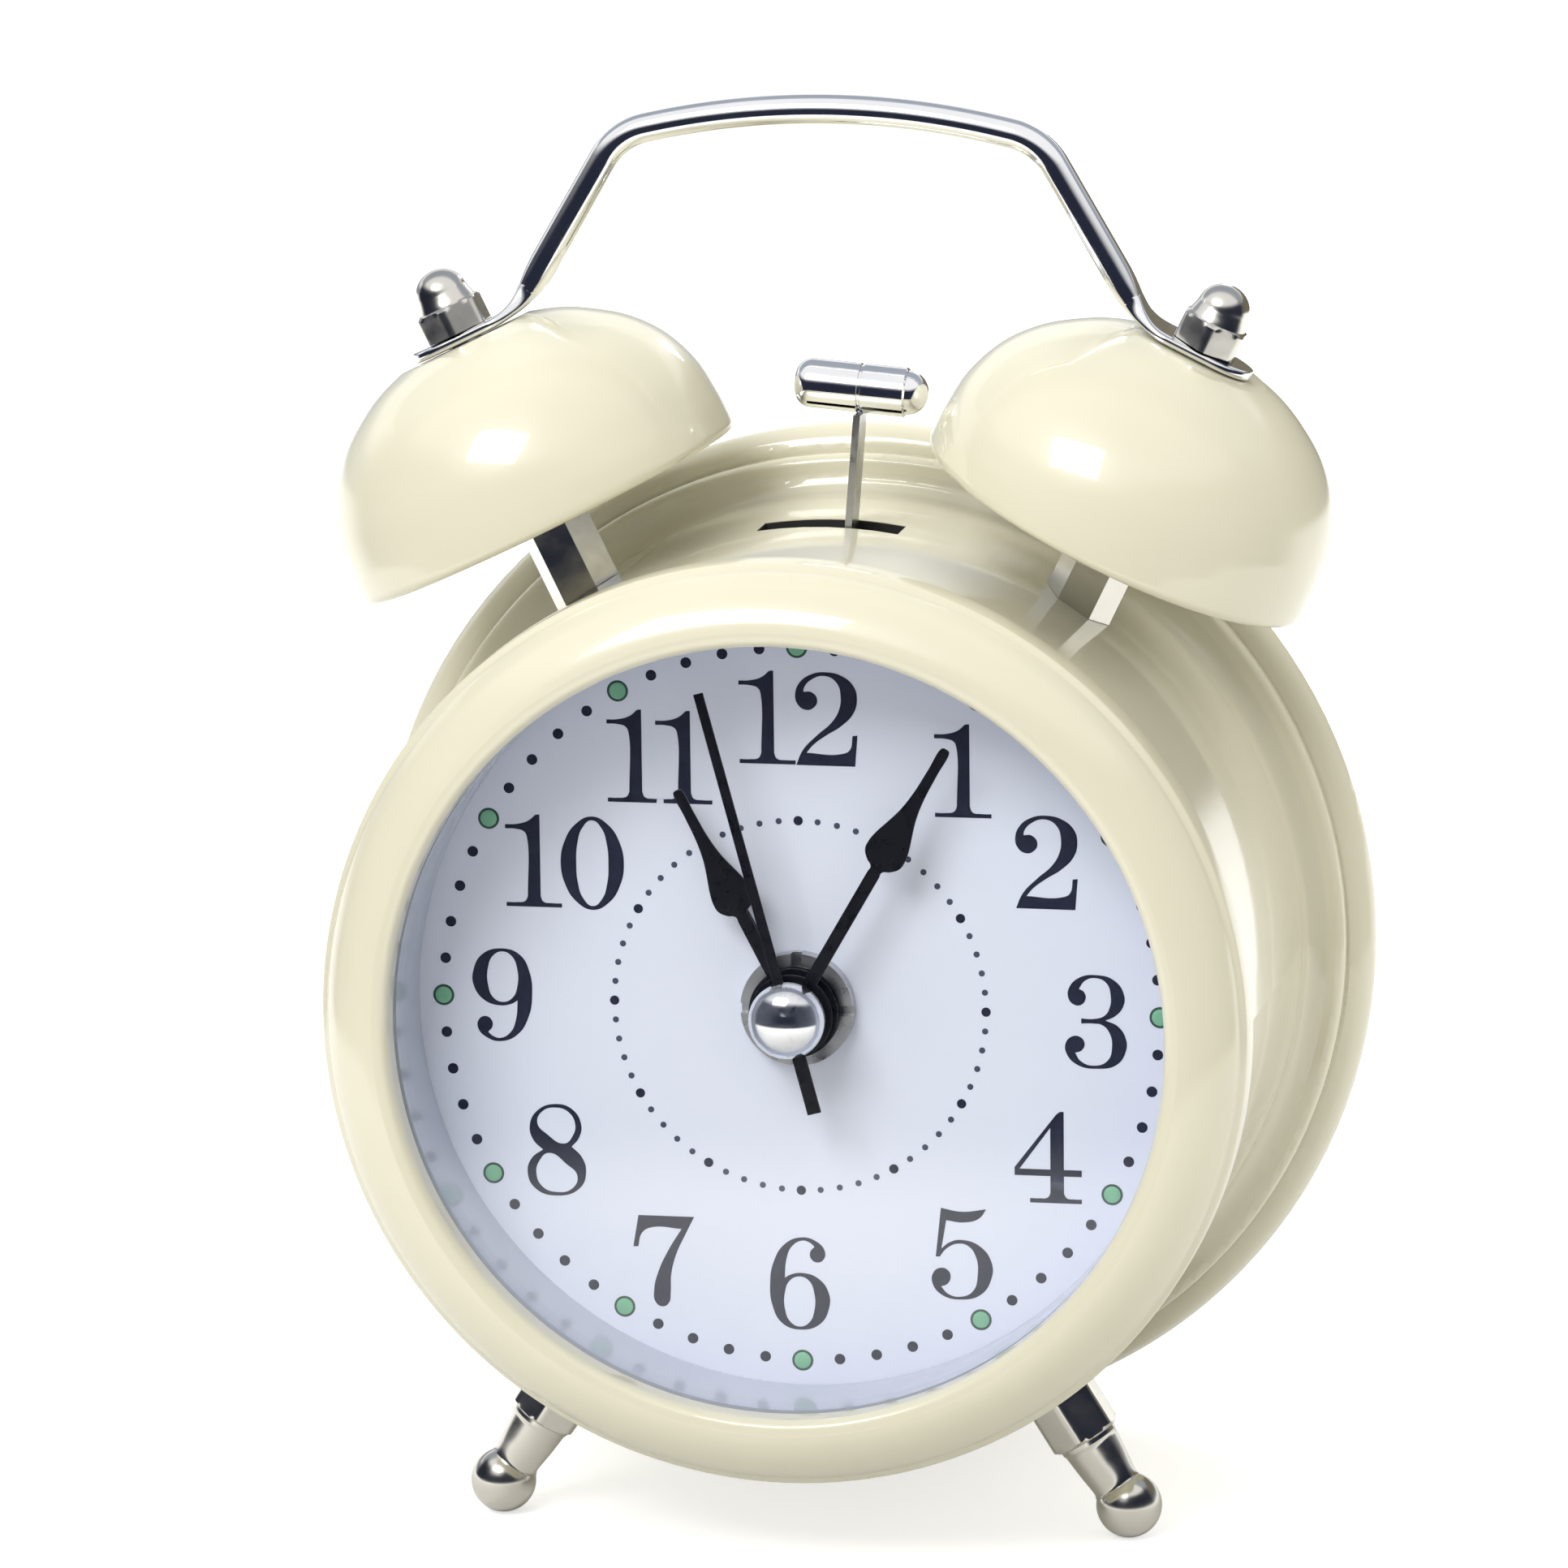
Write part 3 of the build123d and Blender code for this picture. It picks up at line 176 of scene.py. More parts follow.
def lathe(outline, steps=192):
    """A mesh spun from a closed outline of radius and height in millimetres."""
    return cleaned(skinned("lathe", [circle(r, h, steps) for r, h in outline + outline[:1]], ends=False))


def together(name, *meshes):
    """Several meshes as one. The single ones are used up."""
    build = bmesh.new()
    for mesh in meshes:
        build.from_mesh(mesh)
        bpy.data.meshes.remove(mesh)
    one = bpy.data.meshes.new(name)
    build.to_mesh(one)
    build.free()
    return one


def filled(curve):
    """The mesh of a filled curve or word. The curve is used up."""
    holder = bpy.data.objects.new(curve.name, curve)
    scene.collection.objects.link(holder)
    bpy.context.view_layer.update()
    mesh = bpy.data.meshes.new_from_object(holder.evaluated_get(bpy.context.evaluated_depsgraph_get()))
    bpy.data.objects.remove(holder)
    bpy.data.curves.remove(curve)
    return mesh


def stamped(name, lines, low, high, edge=0.0):
    """A shape cut from sheet between two heights. Each outline has places, with a 1 at the corners."""
    curve = bpy.data.curves.new(name, "CURVE")
    curve.dimensions = "2D"
    curve.fill_mode = "BOTH"
    curve.resolution_u = 10
    curve.extrude = ((high - low) / 2 - edge) * mm
    curve.bevel_depth = edge * mm
    curve.bevel_resolution = 2
    curve.offset = -edge * mm
    for line in lines:
        spline = curve.splines.new("BEZIER")
        spline.bezier_points.add(len(line) - 1)
        spline.use_cyclic_u = True
        for point, (x, y, *corner) in zip(spline.bezier_points, line):
            point.co = (x * mm, y * mm, 0)
            point.handle_left_type = "VECTOR" if corner else "AUTO"
            point.handle_right_type = "VECTOR" if corner else "AUTO"
    mesh = filled(curve)
    mesh.transform(moved(z=(low + high) / 2))
    return mesh


print("meshes ready")

# %% [markdown]
# ## From mesh to piece
# `made` turns a mesh into a piece of the clock. It shades the mesh, puts it in its place and lets it ride on
# its body. Then it gives the piece a finish and hides the solid it stands in for, if there is one.


# %% From mesh to piece
def made(name, mesh, place, body, material, node=None, crease=35.0):
    """A piece that rides on a body. It replaces the solid of a node, if one is named."""
    mesh.validate()
    mesh.shade_smooth()
    mesh.set_sharp_from_angle(angle=math.radians(crease))
    piece = bpy.data.objects.new(name, mesh)
    scene.collection.objects.link(piece)
    mesh.transform(place)
    if place.determinant() < 0:
        mesh.flip_normals()
    mesh.update()
    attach(piece, body)
    mesh.materials.append(material)
    if node:
        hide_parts(node)
    print(name, len(mesh.polygons), "faces")


print("piece maker ready")

# %% [markdown]
# ## Helpers for shader nodes
# A shader is a small network. `wired` adds one node to it and joins it up, and the others are the nodes that
# return most: a change of range, a mix of two tones, and one step of arithmetic.


# %% Helpers for shader nodes
def wired(tree, kind, inputs, **settings):
    """The outputs of a new node with its settings. Each input is a plain value or a socket to link."""
    node = tree.nodes.new("ShaderNode" + kind)
    for label, value in settings.items():
        setattr(node, label, value)
    for label, value in inputs.items():
        if isinstance(value, bpy.types.NodeSocket):
            tree.links.new(value, node.inputs[label])
        else:
            node.inputs[label].default_value = value
    return node.outputs


def place_on(tree):
    """Where a point lies, in the object's own frame."""
    return wired(tree, "TexCoord", {})["Object"]


def ranged(tree, value, low, high, start=0.0, end=1.0, **settings):
    """Take a value that runs from start to end to a new range."""
    limits = {"From Min": start, "From Max": end, "To Min": low, "To Max": high}
    return wired(tree, "MapRange", {"Value": value, **limits}, **settings)["Result"]


def toned(tree, factor, first, second):
    """Mix two tones by a factor."""
    tones = {"Factor": factor, "A": (*first, 1), "B": (*second, 1)}
    return wired(tree, "Mix", tones, data_type="RGBA")["Result"]


def reckoned(tree, operation, *values):
    """One step of arithmetic."""
    return wired(tree, "Math", dict(enumerate(values)), operation=operation)["Value"]


def ray_kinds(tree):
    """Two values: one for camera rays, and one for rays that come from a mirror or through glass."""
    ray = wired(tree, "LightPath", {})
    return ray["Is Camera Ray"], reckoned(tree, "MAXIMUM", ray["Is Glossy Ray"], ray["Is Transmission Ray"])


print("node helpers ready")

# %% [markdown]
# ## Shared surface effects
# Real surfaces are never one flat colour. Three small effects return on many finishes, so each is a node
# group that we build once: `cloudy` for slow changes of tone, `hairlines` for fine scratches, and `pebbled`
# for the fine grain of a moulded or sprayed skin. Each group only puts out values that change over the
# surface.

# %% Node groups
cloud_limits = (0.3, 0.7)
hairline_limits = (0.6, 0.72)
hairline_turns = (0.4, 1.9)


def new_group(name, numbers):
    """An empty node group with number inputs and one number output."""
    tree = bpy.data.node_groups.new(name, "ShaderNodeTree")
    for label, value in numbers.items():
        socket = tree.interface.new_socket(label, in_out="INPUT", socket_type="NodeSocketFloat")
        socket.default_value = value
    tree.interface.new_socket("Value", in_out="OUTPUT", socket_type="NodeSocketFloat")
    given = tree.nodes.new("NodeGroupInput").outputs
    return tree, given, tree.nodes.new("NodeGroupOutput").inputs["Value"]


def cloudy_group():
    """Slow clouds."""
    tree, given, out = new_group("cloudy", {"Scale": 60.0, "Detail": 4.0})
    numbers = {"Vector": place_on(tree), "Scale": given["Scale"], "Detail": given["Detail"]}
    noise = wired(tree, "TexNoise", numbers)["Fac"]
    tree.links.new(ranged(tree, noise, 0.0, 1.0, *cloud_limits), out)
    return tree


def hairlines_group():
    """Two sets of fine lines that run different ways."""
    tree, given, out = new_group("hairlines", {"Scale": 900.0, "Stretch": 0.04})
    place = place_on(tree)
    stretch = wired(tree, "CombineXYZ", {"X": 1.0, "Y": 1.0, "Z": given["Stretch"]})["Vector"]
    lines = []
    for turn in hairline_turns:
        turned = wired(tree, "Mapping", {"Vector": place, "Rotation": (turn, 0.7 * turn, 1.3 * turn)})
        pulled = wired(tree, "VectorMath", {0: turned["Vector"], 1: stretch}, operation="MULTIPLY")
        numbers = {"Vector": pulled["Vector"], "Scale": given["Scale"], "Detail": 1.0}
        lines.append(ranged(tree, wired(tree, "TexNoise", numbers)["Fac"], 0.0, 1.0, *hairline_limits))
    tree.links.new(reckoned(tree, "MAXIMUM", *lines), out)
    return tree


def pebbled_group():
    """A fine grain of soft cells."""
    tree, given, out = new_group("pebbled", {"Scale": 2500.0, "Softness": 0.5})
    numbers = {"Vector": place_on(tree), "Scale": given["Scale"], "Smoothness": given["Softness"]}
    tree.links.new(wired(tree, "TexVoronoi", numbers, feature="SMOOTH_F1")["Distance"], out)
    return tree


cloudy = cloudy_group()
hairlines = hairlines_group()
pebbled = pebbled_group()
print("groups", [g.name for g in (cloudy, hairlines, pebbled)])

# %% [markdown]
# ## A finish from its parts
# Every finish here has the same skeleton: two close tones mixed by a slow cloud, a roughness that wanders a
# little, and a very small bump, which is the skin. `finish` builds that skeleton around one Principled
# shader. Numbers that are the same all over the surface go straight onto the shader. There are three kinds
# of skin, one for each group, with a depth in thousandths of a millimetre and a strength.


# %% The finish builder
def rippled(scale, deep, strength, detail=1.0):
    """The soft ripple of paint."""
    return cloudy, {"Scale": scale, "Detail": detail}, deep, strength


def scratched(scale, stretch, deep, strength):
    """The hairlines of polished or drawn metal."""
    return hairlines, {"Scale": scale, "Stretch": stretch}, deep, strength


def grained(scale, softness, deep, strength):
    """The grain of paper or of a moulded skin."""
    return pebbled, {"Scale": scale, "Softness": softness}, deep, strength


def grouped(tree, group, numbers):
    """The value of a node group."""
    return wired(tree, "Group", numbers, node_tree=group)["Value"]


def new_material(name, **plain):
    """A material, its tree and the inputs of its shader, with plain values set on them."""
    material = bpy.data.materials.new(name)
    material.use_nodes = True
    shader = material.node_tree.nodes["Principled BSDF"].inputs
    for label, value in plain.items():
        shader[label.replace("_", " ")].default_value = value
    return material, material.node_tree, shader


def finish(name, light, dark, rough, skin, cloud=90.0, **plain):
    """A material of two tones, a wandering roughness and a skin, with plain values set on its shader."""
    material, tree, shader = new_material(name, **plain)
    tone = grouped(tree, cloudy, {"Scale": cloud, "Detail": 2.0})
    tree.links.new(toned(tree, tone, light, dark), shader["Base Color"])
    wander = grouped(tree, cloudy, {"Scale": 3.1 * cloud, "Detail": 3.0})
    tree.links.new(ranged(tree, wander, *rough), shader["Roughness"])
    group, numbers, deep, strength = skin
    bump = {"Height": grouped(tree, group, numbers), "Strength": strength, "Distance": deep * mm * mm}
    tree.links.new(wired(tree, "Bump", bump)["Normal"], shader["Normal"])
    return material


print("finish builder ready")

# %% [markdown]
# ## Enamel and metals
# The case, ring and bells are steel with a thick cream enamel. Sprayed enamel is smooth but not perfect: it
# has a faint ripple, called orange peel, which makes highlights waver. A clear coat gives the sharp
# highlight on top. Chrome is a mirror with a slightly cool tint; fine hairlines and finger haze keep it from
# looking computed. Nickel is warmer and softer.

# %% Enamel and metals
enamel = finish(
    "cream_enamel", (0.70, 0.679, 0.538), (0.675, 0.654, 0.514), (0.3, 0.38), rippled(420.0, 30.0, 0.06),
    cloud=45.0, Coat_Weight=0.9, Coat_Roughness=0.05,
)
chrome = finish(
    "polished_chrome", (0.9, 0.9, 0.915), (0.84, 0.85, 0.865), (0.05, 0.12), scratched(700.0, 0.05, 4.0, 0.1),
    cloud=160.0, Metallic=1.0,
)
zinc = finish(
    "zinc_steel", (0.60, 0.60, 0.61), (0.50, 0.50, 0.51), (0.25, 0.42), scratched(900.0, 0.03, 8.0, 0.2),
    cloud=220.0, Metallic=1.0,
)
nickel = finish(
    "satin_nickel", (0.74, 0.72, 0.67), (0.68, 0.66, 0.61), (0.14, 0.24), scratched(900.0, 0.04, 4.0, 0.12),
    cloud=160.0, Metallic=1.0,
)
print("made", enamel.name, chrome.name, zinc.name, nickel.name)

# %% [markdown]
# ## Dial and hands
# The dial is a printed sheet: matte, a little blue, with the tooth of paper. Its numerals are a deep ink and
# its finest dots a paler one. The hands are stamped and painted a glossy black, and the hour dots are drops
# of glow paint in a dark rim.

# %% Dial and hands
dial_sheet = finish(
    "dial_sheet", (0.697, 0.737, 0.865), (0.678, 0.719, 0.85), (0.45, 0.58), grained(5200.0, 0.7, 6.0, 0.15),
    cloud=70.0,
)
# The ring is a pale blue white, but its colour is darkened to grey blue: a painted shade of the recess behind
# the front ring.
ring_white = finish(
    "ring_white", (0.485, 0.522, 0.63), (0.463, 0.5, 0.608), (0.16, 0.26), rippled(600.0, 15.0, 0.06),
    cloud=120.0, Coat_Weight=0.3, Coat_Roughness=0.08,
)
hand_black = finish(
    "hand_black", (0.003, 0.003, 0.006), (0.005, 0.005, 0.009), (0.25, 0.35), rippled(1500.0, 4.0, 0.1),
    cloud=300.0, Specular_IOR_Level=0.35,
)
printed = grained(5200.0, 0.7, 4.0, 0.1)
ink = finish(
    "numeral_ink", (0.007, 0.010, 0.03), (0.011, 0.015, 0.042), (0.45, 0.6), printed, cloud=700.0,
    Specular_IOR_Level=0.3,
)
pale_ink = finish(
    "pale_ink", (0.05, 0.06, 0.105), (0.065, 0.075, 0.125), (0.45, 0.6), printed, cloud=700.0,
    Specular_IOR_Level=0.3,
)
glow_paint = finish(
    "glow_paint", (0.195, 0.48, 0.3), (0.16, 0.42, 0.26), (0.5, 0.65), grained(6000.0, 0.4, 10.0, 0.3),
    cloud=900.0,
)
glow_rim = finish(
    "glow_rim", (0.016, 0.06, 0.042), (0.025, 0.08, 0.055), (0.4, 0.5), grained(6000.0, 0.4, 4.0, 0.1),
    cloud=900.0,
)
print("dial finishes ready")

# %% [markdown]
# ## Glass
# The front disc is clear, and light has to pass through it, or the dial behind would go dark. So the glass
# turns transparent for shadow rays and for rays that only carry light about.

# %% Glass
glass, tree, pane = new_material(
    "clear_glass", Base_Color=(0.985, 0.992, 0.995, 1), Transmission_Weight=1.0, IOR=1.45,
    Specular_IOR_Level=0.13,
)
haze = grouped(tree, cloudy, {"Scale": 40.0, "Detail": 5.0})
tree.links.new(ranged(tree, haze, 0.0, 0.012), pane["Roughness"])
ray = wired(tree, "LightPath", {})
let_through = reckoned(tree, "MAXIMUM", ray["Is Shadow Ray"], ray["Is Diffuse Ray"])
clear = wired(tree, "BsdfTransparent", {})["BSDF"]
either = {"Fac": let_through, 1: tree.nodes["Principled BSDF"].outputs["BSDF"], 2: clear}
tree.links.new(wired(tree, "MixShader", either)["Shader"], tree.nodes["Material Output"].inputs["Surface"])
print("made", glass.name)

# %% [markdown]
# ## Plastics and the inside
# The back is moulded plastic with the fine grain of a spark eroded tool. The wheels inside are natural
# acetal, the coil is enamelled copper, the board has green lacquer, and the cell wears a plain sleeve.

# %% Plastics and the inside
cover_black = finish("cover_black", (0.035, 0.035, 0.038), (0.05, 0.05, 0.053), (0.42, 0.58),
                     grained(3200.0, 0.4, 30.0, 0.35))
knob_black = finish("knob_black", (0.022, 0.022, 0.025), (0.034, 0.034, 0.037), (0.3, 0.42),
                    grained(3200.0, 0.4, 12.0, 0.2))
box_black = finish("box_black", (0.05, 0.05, 0.055), (0.07, 0.07, 0.075), (0.4, 0.55),
                   grained(3200.0, 0.4, 20.0, 0.25))
acetal = finish("acetal", (0.80, 0.79, 0.74), (0.74, 0.73, 0.67), (0.3, 0.42),
                rippled(900.0, 10.0, 0.15, 2.0), cloud=300.0, Subsurface_Weight=0.1, Subsurface_Scale=0.001)
brass = finish("cut_brass", (0.72, 0.52, 0.22), (0.62, 0.43, 0.17), (0.2, 0.32),
               scratched(1200.0, 0.04, 6.0, 0.2), cloud=400.0, Metallic=1.0)
copper = finish("copper_winding", (0.50, 0.20, 0.08), (0.38, 0.13, 0.05), (0.25, 0.4),
                scratched(2600.0, 0.02, 30.0, 0.5), cloud=900.0, Metallic=1.0, Coat_Weight=0.3)
board_green = finish("board_green", (0.03, 0.16, 0.07), (0.05, 0.22, 0.1), (0.25, 0.35),
                     scratched(500.0, 0.1, 30.0, 0.3), cloud=500.0)
sleeve = finish("cell_sleeve", (0.42, 0.44, 0.47), (0.36, 0.38, 0.41), (0.22, 0.34),
                scratched(500.0, 0.05, 6.0, 0.15), cloud=150.0, Metallic=0.85)
mark_white = finish("mark_white", (0.62, 0.62, 0.6), (0.54, 0.54, 0.52), (0.45, 0.6),
                    grained(3200.0, 0.4, 10.0, 0.2), cloud=600.0)
print("plastics ready")

# %% [markdown]
# ## Enamel outside, painted shade inside
# The inside of the drum and the cut edges of the hammer slot get a painted shade, a near black without a
# coat, which stands in for the shade deep in the slot. We copy the enamel and mix in the painted shade
# wherever a point lies nearer to the drum's axis than its outer skin. The distance from the axis is the
# length of a cross product with the axis, so it needs no image and no texture painting.

# %% Enamel outside, painted shade inside
drum_skin_r = 39.12
# The painted shade: near black and rough, with no coat over it, for the shade deep in the slot.
painted_shade_values = {"Base Color": 0.014, "Roughness": 0.75}
case_enamel_painted_shade = enamel.copy()
case_enamel_painted_shade.name = "case_enamel_painted_shade"
tree = case_enamel_painted_shade.node_tree
shader = tree.nodes["Principled BSDF"].inputs
from_middle = wired(tree, "VectorMath", {0: place_on(tree), 1: dial_middle}, operation="SUBTRACT")["Vector"]
across_axis = wired(tree, "VectorMath", {0: from_middle, 1: dial_depth}, operation="CROSS_PRODUCT")["Vector"]
from_axis = wired(tree, "VectorMath", {0: across_axis}, operation="LENGTH")["Value"]
# Every point inside the outer skin gets the painted shade.
inside = reckoned(tree, "LESS_THAN", from_axis, drum_skin_r * mm)
for label, value in painted_shade_values.items():
    enamelled = shader[label].links[0].from_socket
    both = {"Factor": inside, "A": enamelled, "B": (value, value, value, 1)}
    tree.links.new(wired(tree, "Mix", both, data_type="RGBA")["Result"], shader[label])
tree.links.new(reckoned(tree, "SUBTRACT", 1.0, inside), shader["Coat Weight"])
print("made", case_enamel_painted_shade.name)

# %% [markdown]
# ## Finishes on the solids
# Each solid knows its material slot from the record. One table says which finish each slot gets, so no piece
# is forgotten, and a short one names the solids with a finish of their own. A thin bevel on the stamped and
# moulded pieces catches the light along their edges.

# %% Finishes on the solids
finish_of_slot = {
    "enamel": enamel, "chrome": chrome, "steel": zinc, "dial_print": dial_sheet, "glass": glass,
    "dial_ring_white": ring_white, "hand_black": hand_black, "movement_plastic": box_black,
    "cover_plastic": cover_black, "knob_plastic": knob_black, "gear_plastic": acetal, "pinion_brass": brass,
    "coil_wire": copper, "board": board_green, "cell_sleeve": sleeve,
}
finish_of_node = {
    "bell_post_left": nickel, "bell_post_right": nickel, "case_shell": case_enamel_painted_shade, "dial_nut": zinc,
}
slot_of_node = {s["node"]: s["material_slot"] for s in frame["record"]["subparts"]}
for node, thing in node_objects.items():
    thing.data.materials.clear()
    thing.data.materials.append(finish_of_node.get(node, finish_of_slot[slot_of_node[node]]))
for node in ("bell_post_left", "bell_post_right", "time_knob", "alarm_knob", "switch_slider", "hammer_arm"):
    soft_edge = node_objects[node].modifiers.new("soft_edge", "BEVEL")
    soft_edge.width = 0.12 * mm
    soft_edge.segments = 2
    soft_edge.limit_method = "ANGLE"
    soft_edge.angle_limit = math.radians(40.0)
print("dressed", len(node_objects), "solids")

# %% [markdown]
# ## World and lamps
# The photograph shows the clock on white. The world is white for camera, glossy and transmission rays. For
# the light that falls on the clock it is calmer and a little warm. The bells show where the main lamp
# stands: a softbox left of the camera and well above it. Two more light the right side, and the top from
# behind. They stay out of the mirrors, because the enamel shows only one large lamp. A small lamp close
# behind the clock makes the second, small highlight on the left bell.

# %% World and lamps
scene.view_settings.view_transform = "Standard"
fill_level = 0.7
fill_tone = (1.0, 0.965, 0.87)
lamp_target = Vector((0, 0, 0.07))
world = bpy.data.worlds.new("studio")
scene.world = world
world.use_nodes = True
tree = world.node_tree
backdrop = tree.nodes["Background"].inputs
shown = reckoned(tree, "MAXIMUM", *ray_kinds(tree))
tree.links.new(toned(tree, shown, fill_tone, (1, 1, 1)), backdrop["Color"])
tree.links.new(ranged(tree, shown, fill_level, 1.0), backdrop["Strength"])


def lamp(name, azimuth, height, reach, width, tall, power, in_mirrors=True):
    """A softbox at an azimuth, where left of the front is negative, and a height, both in degrees."""
    data = bpy.data.lights.new(name, "AREA")
    data.shape = "RECTANGLE"
    data.size = width
    data.size_y = tall
    data.energy = power
    box = bpy.data.objects.new(name, data)
    scene.collection.objects.link(box)
    a, e = math.radians(azimuth), math.radians(height)
    way = Vector((math.sin(a) * math.cos(e), -math.cos(a) * math.cos(e), math.sin(e)))
    box.location = lamp_target + reach * way
    box.rotation_euler = way.to_track_quat("Z", "Y").to_euler()
    box.visible_glossy = in_mirrors
    return box


lamp("softbox_key", azimuth=-22, height=42, reach=0.8, width=0.42, tall=0.3, power=4.05)
lamp("softbox_side", azimuth=108, height=12, reach=0.9, width=0.5, tall=0.4, power=1.75, in_mirrors=False)
lamp("softbox_back", azimuth=196, height=50, reach=0.9, width=0.6, tall=0.4, power=5.2, in_mirrors=False)
small = lamp("small_lamp", azimuth=172.2, height=23.7, reach=0.213, width=0.026, tall=0.026, power=0.014)
small.visible_camera = False

# %% [markdown]
# ## Floor
# The floor is pale and takes the clock's shadow. A glow of its own, only for rays that show it, is a painted
# light: it grows with the distance from the clock and makes the floor white around the shadow. For mirrors
# the glow is a painted shade close to the clock, where the clock shades the floor, so the legs keep some
# tone.

# %% Floor
floor_half = 6.0
direct_glow = {"low": 0.6, "high": 0.95, "start": 0.06, "end": 0.45}
mirrored_glow = {"low": 0.03, "high": 0.5, "start": 0.04, "end": 0.24}


def level_sheet(name, left, front, right, rear, z):
    """The mesh of a level sheet, given in metres."""
    mesh = bpy.data.meshes.new(name)
    corners = [(left, front, z), (right, front, z), (right, rear, z), (left, rear, z)]
    mesh.from_pydata(corners, [], [(0, 1, 2, 3)])
    return mesh


def floor_material():
    """Pale paint with a glow that depends on the ray and on the distance from the clock."""
    paint, tree, shader = new_material(
        "floor_paint", Roughness=0.7, Specular_IOR_Level=0.1, Emission_Color=(1, 1, 1, 1))
    shade = grouped(tree, cloudy, {"Scale": 3.0, "Detail": 1.0})
    tree.links.new(toned(tree, shade, (0.7, 0.7, 0.7), (0.69, 0.69, 0.685)), shader["Base Color"])
    away = wired(tree, "VectorMath", {0: place_on(tree)}, operation="LENGTH")["Value"]
    direct, mirrored = ray_kinds(tree)
    # Painted light that grows away from the clock, and for mirrors a painted shade that is dim close to it.
    glow = ranged(tree, away, **direct_glow, interpolation_type="SMOOTHSTEP")
    pool = ranged(tree, away, **mirrored_glow, interpolation_type="SMOOTHSTEP")
    seen = reckoned(tree, "MULTIPLY", glow, direct)
    tree.links.new(reckoned(tree, "MULTIPLY_ADD", mirrored, pool, seen), shader["Emission Strength"])
    return paint


floor_mesh = level_sheet("studio_floor", -floor_half, -floor_half, floor_half, floor_half, 0)
floor_mesh.materials.append(floor_material())
floor = bpy.data.objects.new("studio_floor", floor_mesh)
scene.collection.objects.link(floor)
print("floor", floor.name)

# %% [markdown]
# ## Cloths
# Chrome in a white room looks like milk, so a photographer hangs cloth out of sight. Only mirrors and glass
# can see ours. The dark curtain goes round the front and gives the chrome its dark lines. It also keeps the
# upper glass clear, while the lower glass still shows a veil of the pale floor. A warm grey screen stands
# behind at the right, a cool grey ceiling hangs behind, and a grey skyline stands far back.

# %% Cloths
band_sides = 64
sky_tone = (0.8, 0.87, 1.0)


def band(name, r, low, high):
    """The mesh of a cloth hung round the clock, in millimetres."""
    return skinned(name, [circle(r, h, band_sides) for h in (low, high)], ends=False)


def hung_cloth(mesh, fades, tone, level):
    """A cloth for mirrors only. Each fade is an axis, where the cloth begins and where it is full."""
    material, tree, shader = new_material(
        mesh.name + "_cloth", Base_Color=(0, 0, 0, 1), Specular_IOR_Level=0.0,
        Emission_Color=(*tone, 1), Emission_Strength=level)
    along = wired(tree, "SeparateXYZ", {"Vector": place_on(tree)})
    cover = 1.0
    for axis, start, end in fades:
        edge = ranged(tree, along[axis], 0.0, 1.0, start * mm, end * mm, interpolation_type="SMOOTHSTEP")
        cover = reckoned(tree, "MULTIPLY", cover, edge)
    tree.links.new(cover, shader["Alpha"])
    mesh.materials.append(material)
    cloth = bpy.data.objects.new(mesh.name, mesh)
    scene.collection.objects.link(cloth)
    cloth.visible_camera = False
    cloth.visible_diffuse = False
    cloth.visible_shadow = False
    print("cloth", cloth.name)


hung_cloth(band("dark_curtain", 192, 3, 220), (("Z", 3, 14), ("Z", 220, 150), ("Y", 90, 20)),
           tone=(0.35, 0.42, 0.72), level=0.06)
hung_cloth(band("grey_screen", 250, 40, 210), (("Z", 40, 60), ("Z", 210, 170), ("X", 0, 40), ("Y", 20, 90)),
           tone=(1.0, 0.9, 0.66), level=0.2)
hung_cloth(level_sheet("grey_ceiling", -0.9, -0.1, 0.9, 0.75, 0.5), (("Y", 20, 130), ("Y", 750, 550)),
           tone=sky_tone, level=0.5)
hung_cloth(band("grey_skyline", 500, 30, 200), (("Z", 30, 70), ("Z", 200, 140), ("Y", 100, 200)),
           tone=sky_tone, level=0.4)

# %% [markdown]
# ## Print on the dial: dots
# Sixty dots mark the minutes. Each hour has a dot of glow paint with a dark rim instead, and an inner ring
# of sixty finer dots serves the alarm hand. Ink is thin but has a thickness, so each dot is a low disc, and
# the glow paint is a drop that stands up in the middle.

# %% Dots
minute_dots_r = 31.2
glow_dots_r = 31.25
alarm_dots_r = 16.2
drop_sides = 28
ink_low = 0.004
ink_high = 0.02
ink_round = 0.004
glow_drop = [(0.72, 0.01), (0.72, 0.05), (0.66, 0.08), (0.45, 0.11), (0.2, 0.125)]
hour_marks = range(0, 60, 5)
other_marks = [m for m in range(60) if m % 5]


def disc(r, edge, top=ink_high):
    """The outline of a low printed disc with a soft edge."""
    return [(r, ink_low), (r, top - ink_round), (r - edge, top)]


def dots(name, r, minutes, outline, material):
    """Low turned drops round the dial, each from rings of radius and height."""
    drops = []
    for minute in minutes:
        a = math.radians(6 * minute)
        x, y = r * math.sin(a), r * math.cos(a)
        drops.append(skinned(name, [circle(*ring, drop_sides, x, y) for ring in outline]))
    made(name, together(name, *drops), print_frame, "case", material)


dots("minute_dots", minute_dots_r, other_marks, disc(0.47, 0.04), ink)
dots("alarm_dots", alarm_dots_r, other_marks, disc(0.27, 0.03), pale_ink)
dots("alarm_hour_dots", alarm_dots_r, hour_marks, disc(0.41, 0.04), ink)
dots("glow_rims", glow_dots_r, hour_marks, disc(0.93, 0.05, 0.022), glow_rim)
dots("glow_dots", glow_dots_r, hour_marks, glow_drop, glow_paint)

# %% [markdown]
# ## Print on the dial: numerals
# The numerals are an old schoolbook style: heavy uprights, thin level strokes and round drops at the ends.
# No font at hand has them, so each figure is drawn here as an outline of a few points. A point marked 1 is a
# corner, and between the others the curve flows. The figures are filled as flat curves and then made into
# thin solids.

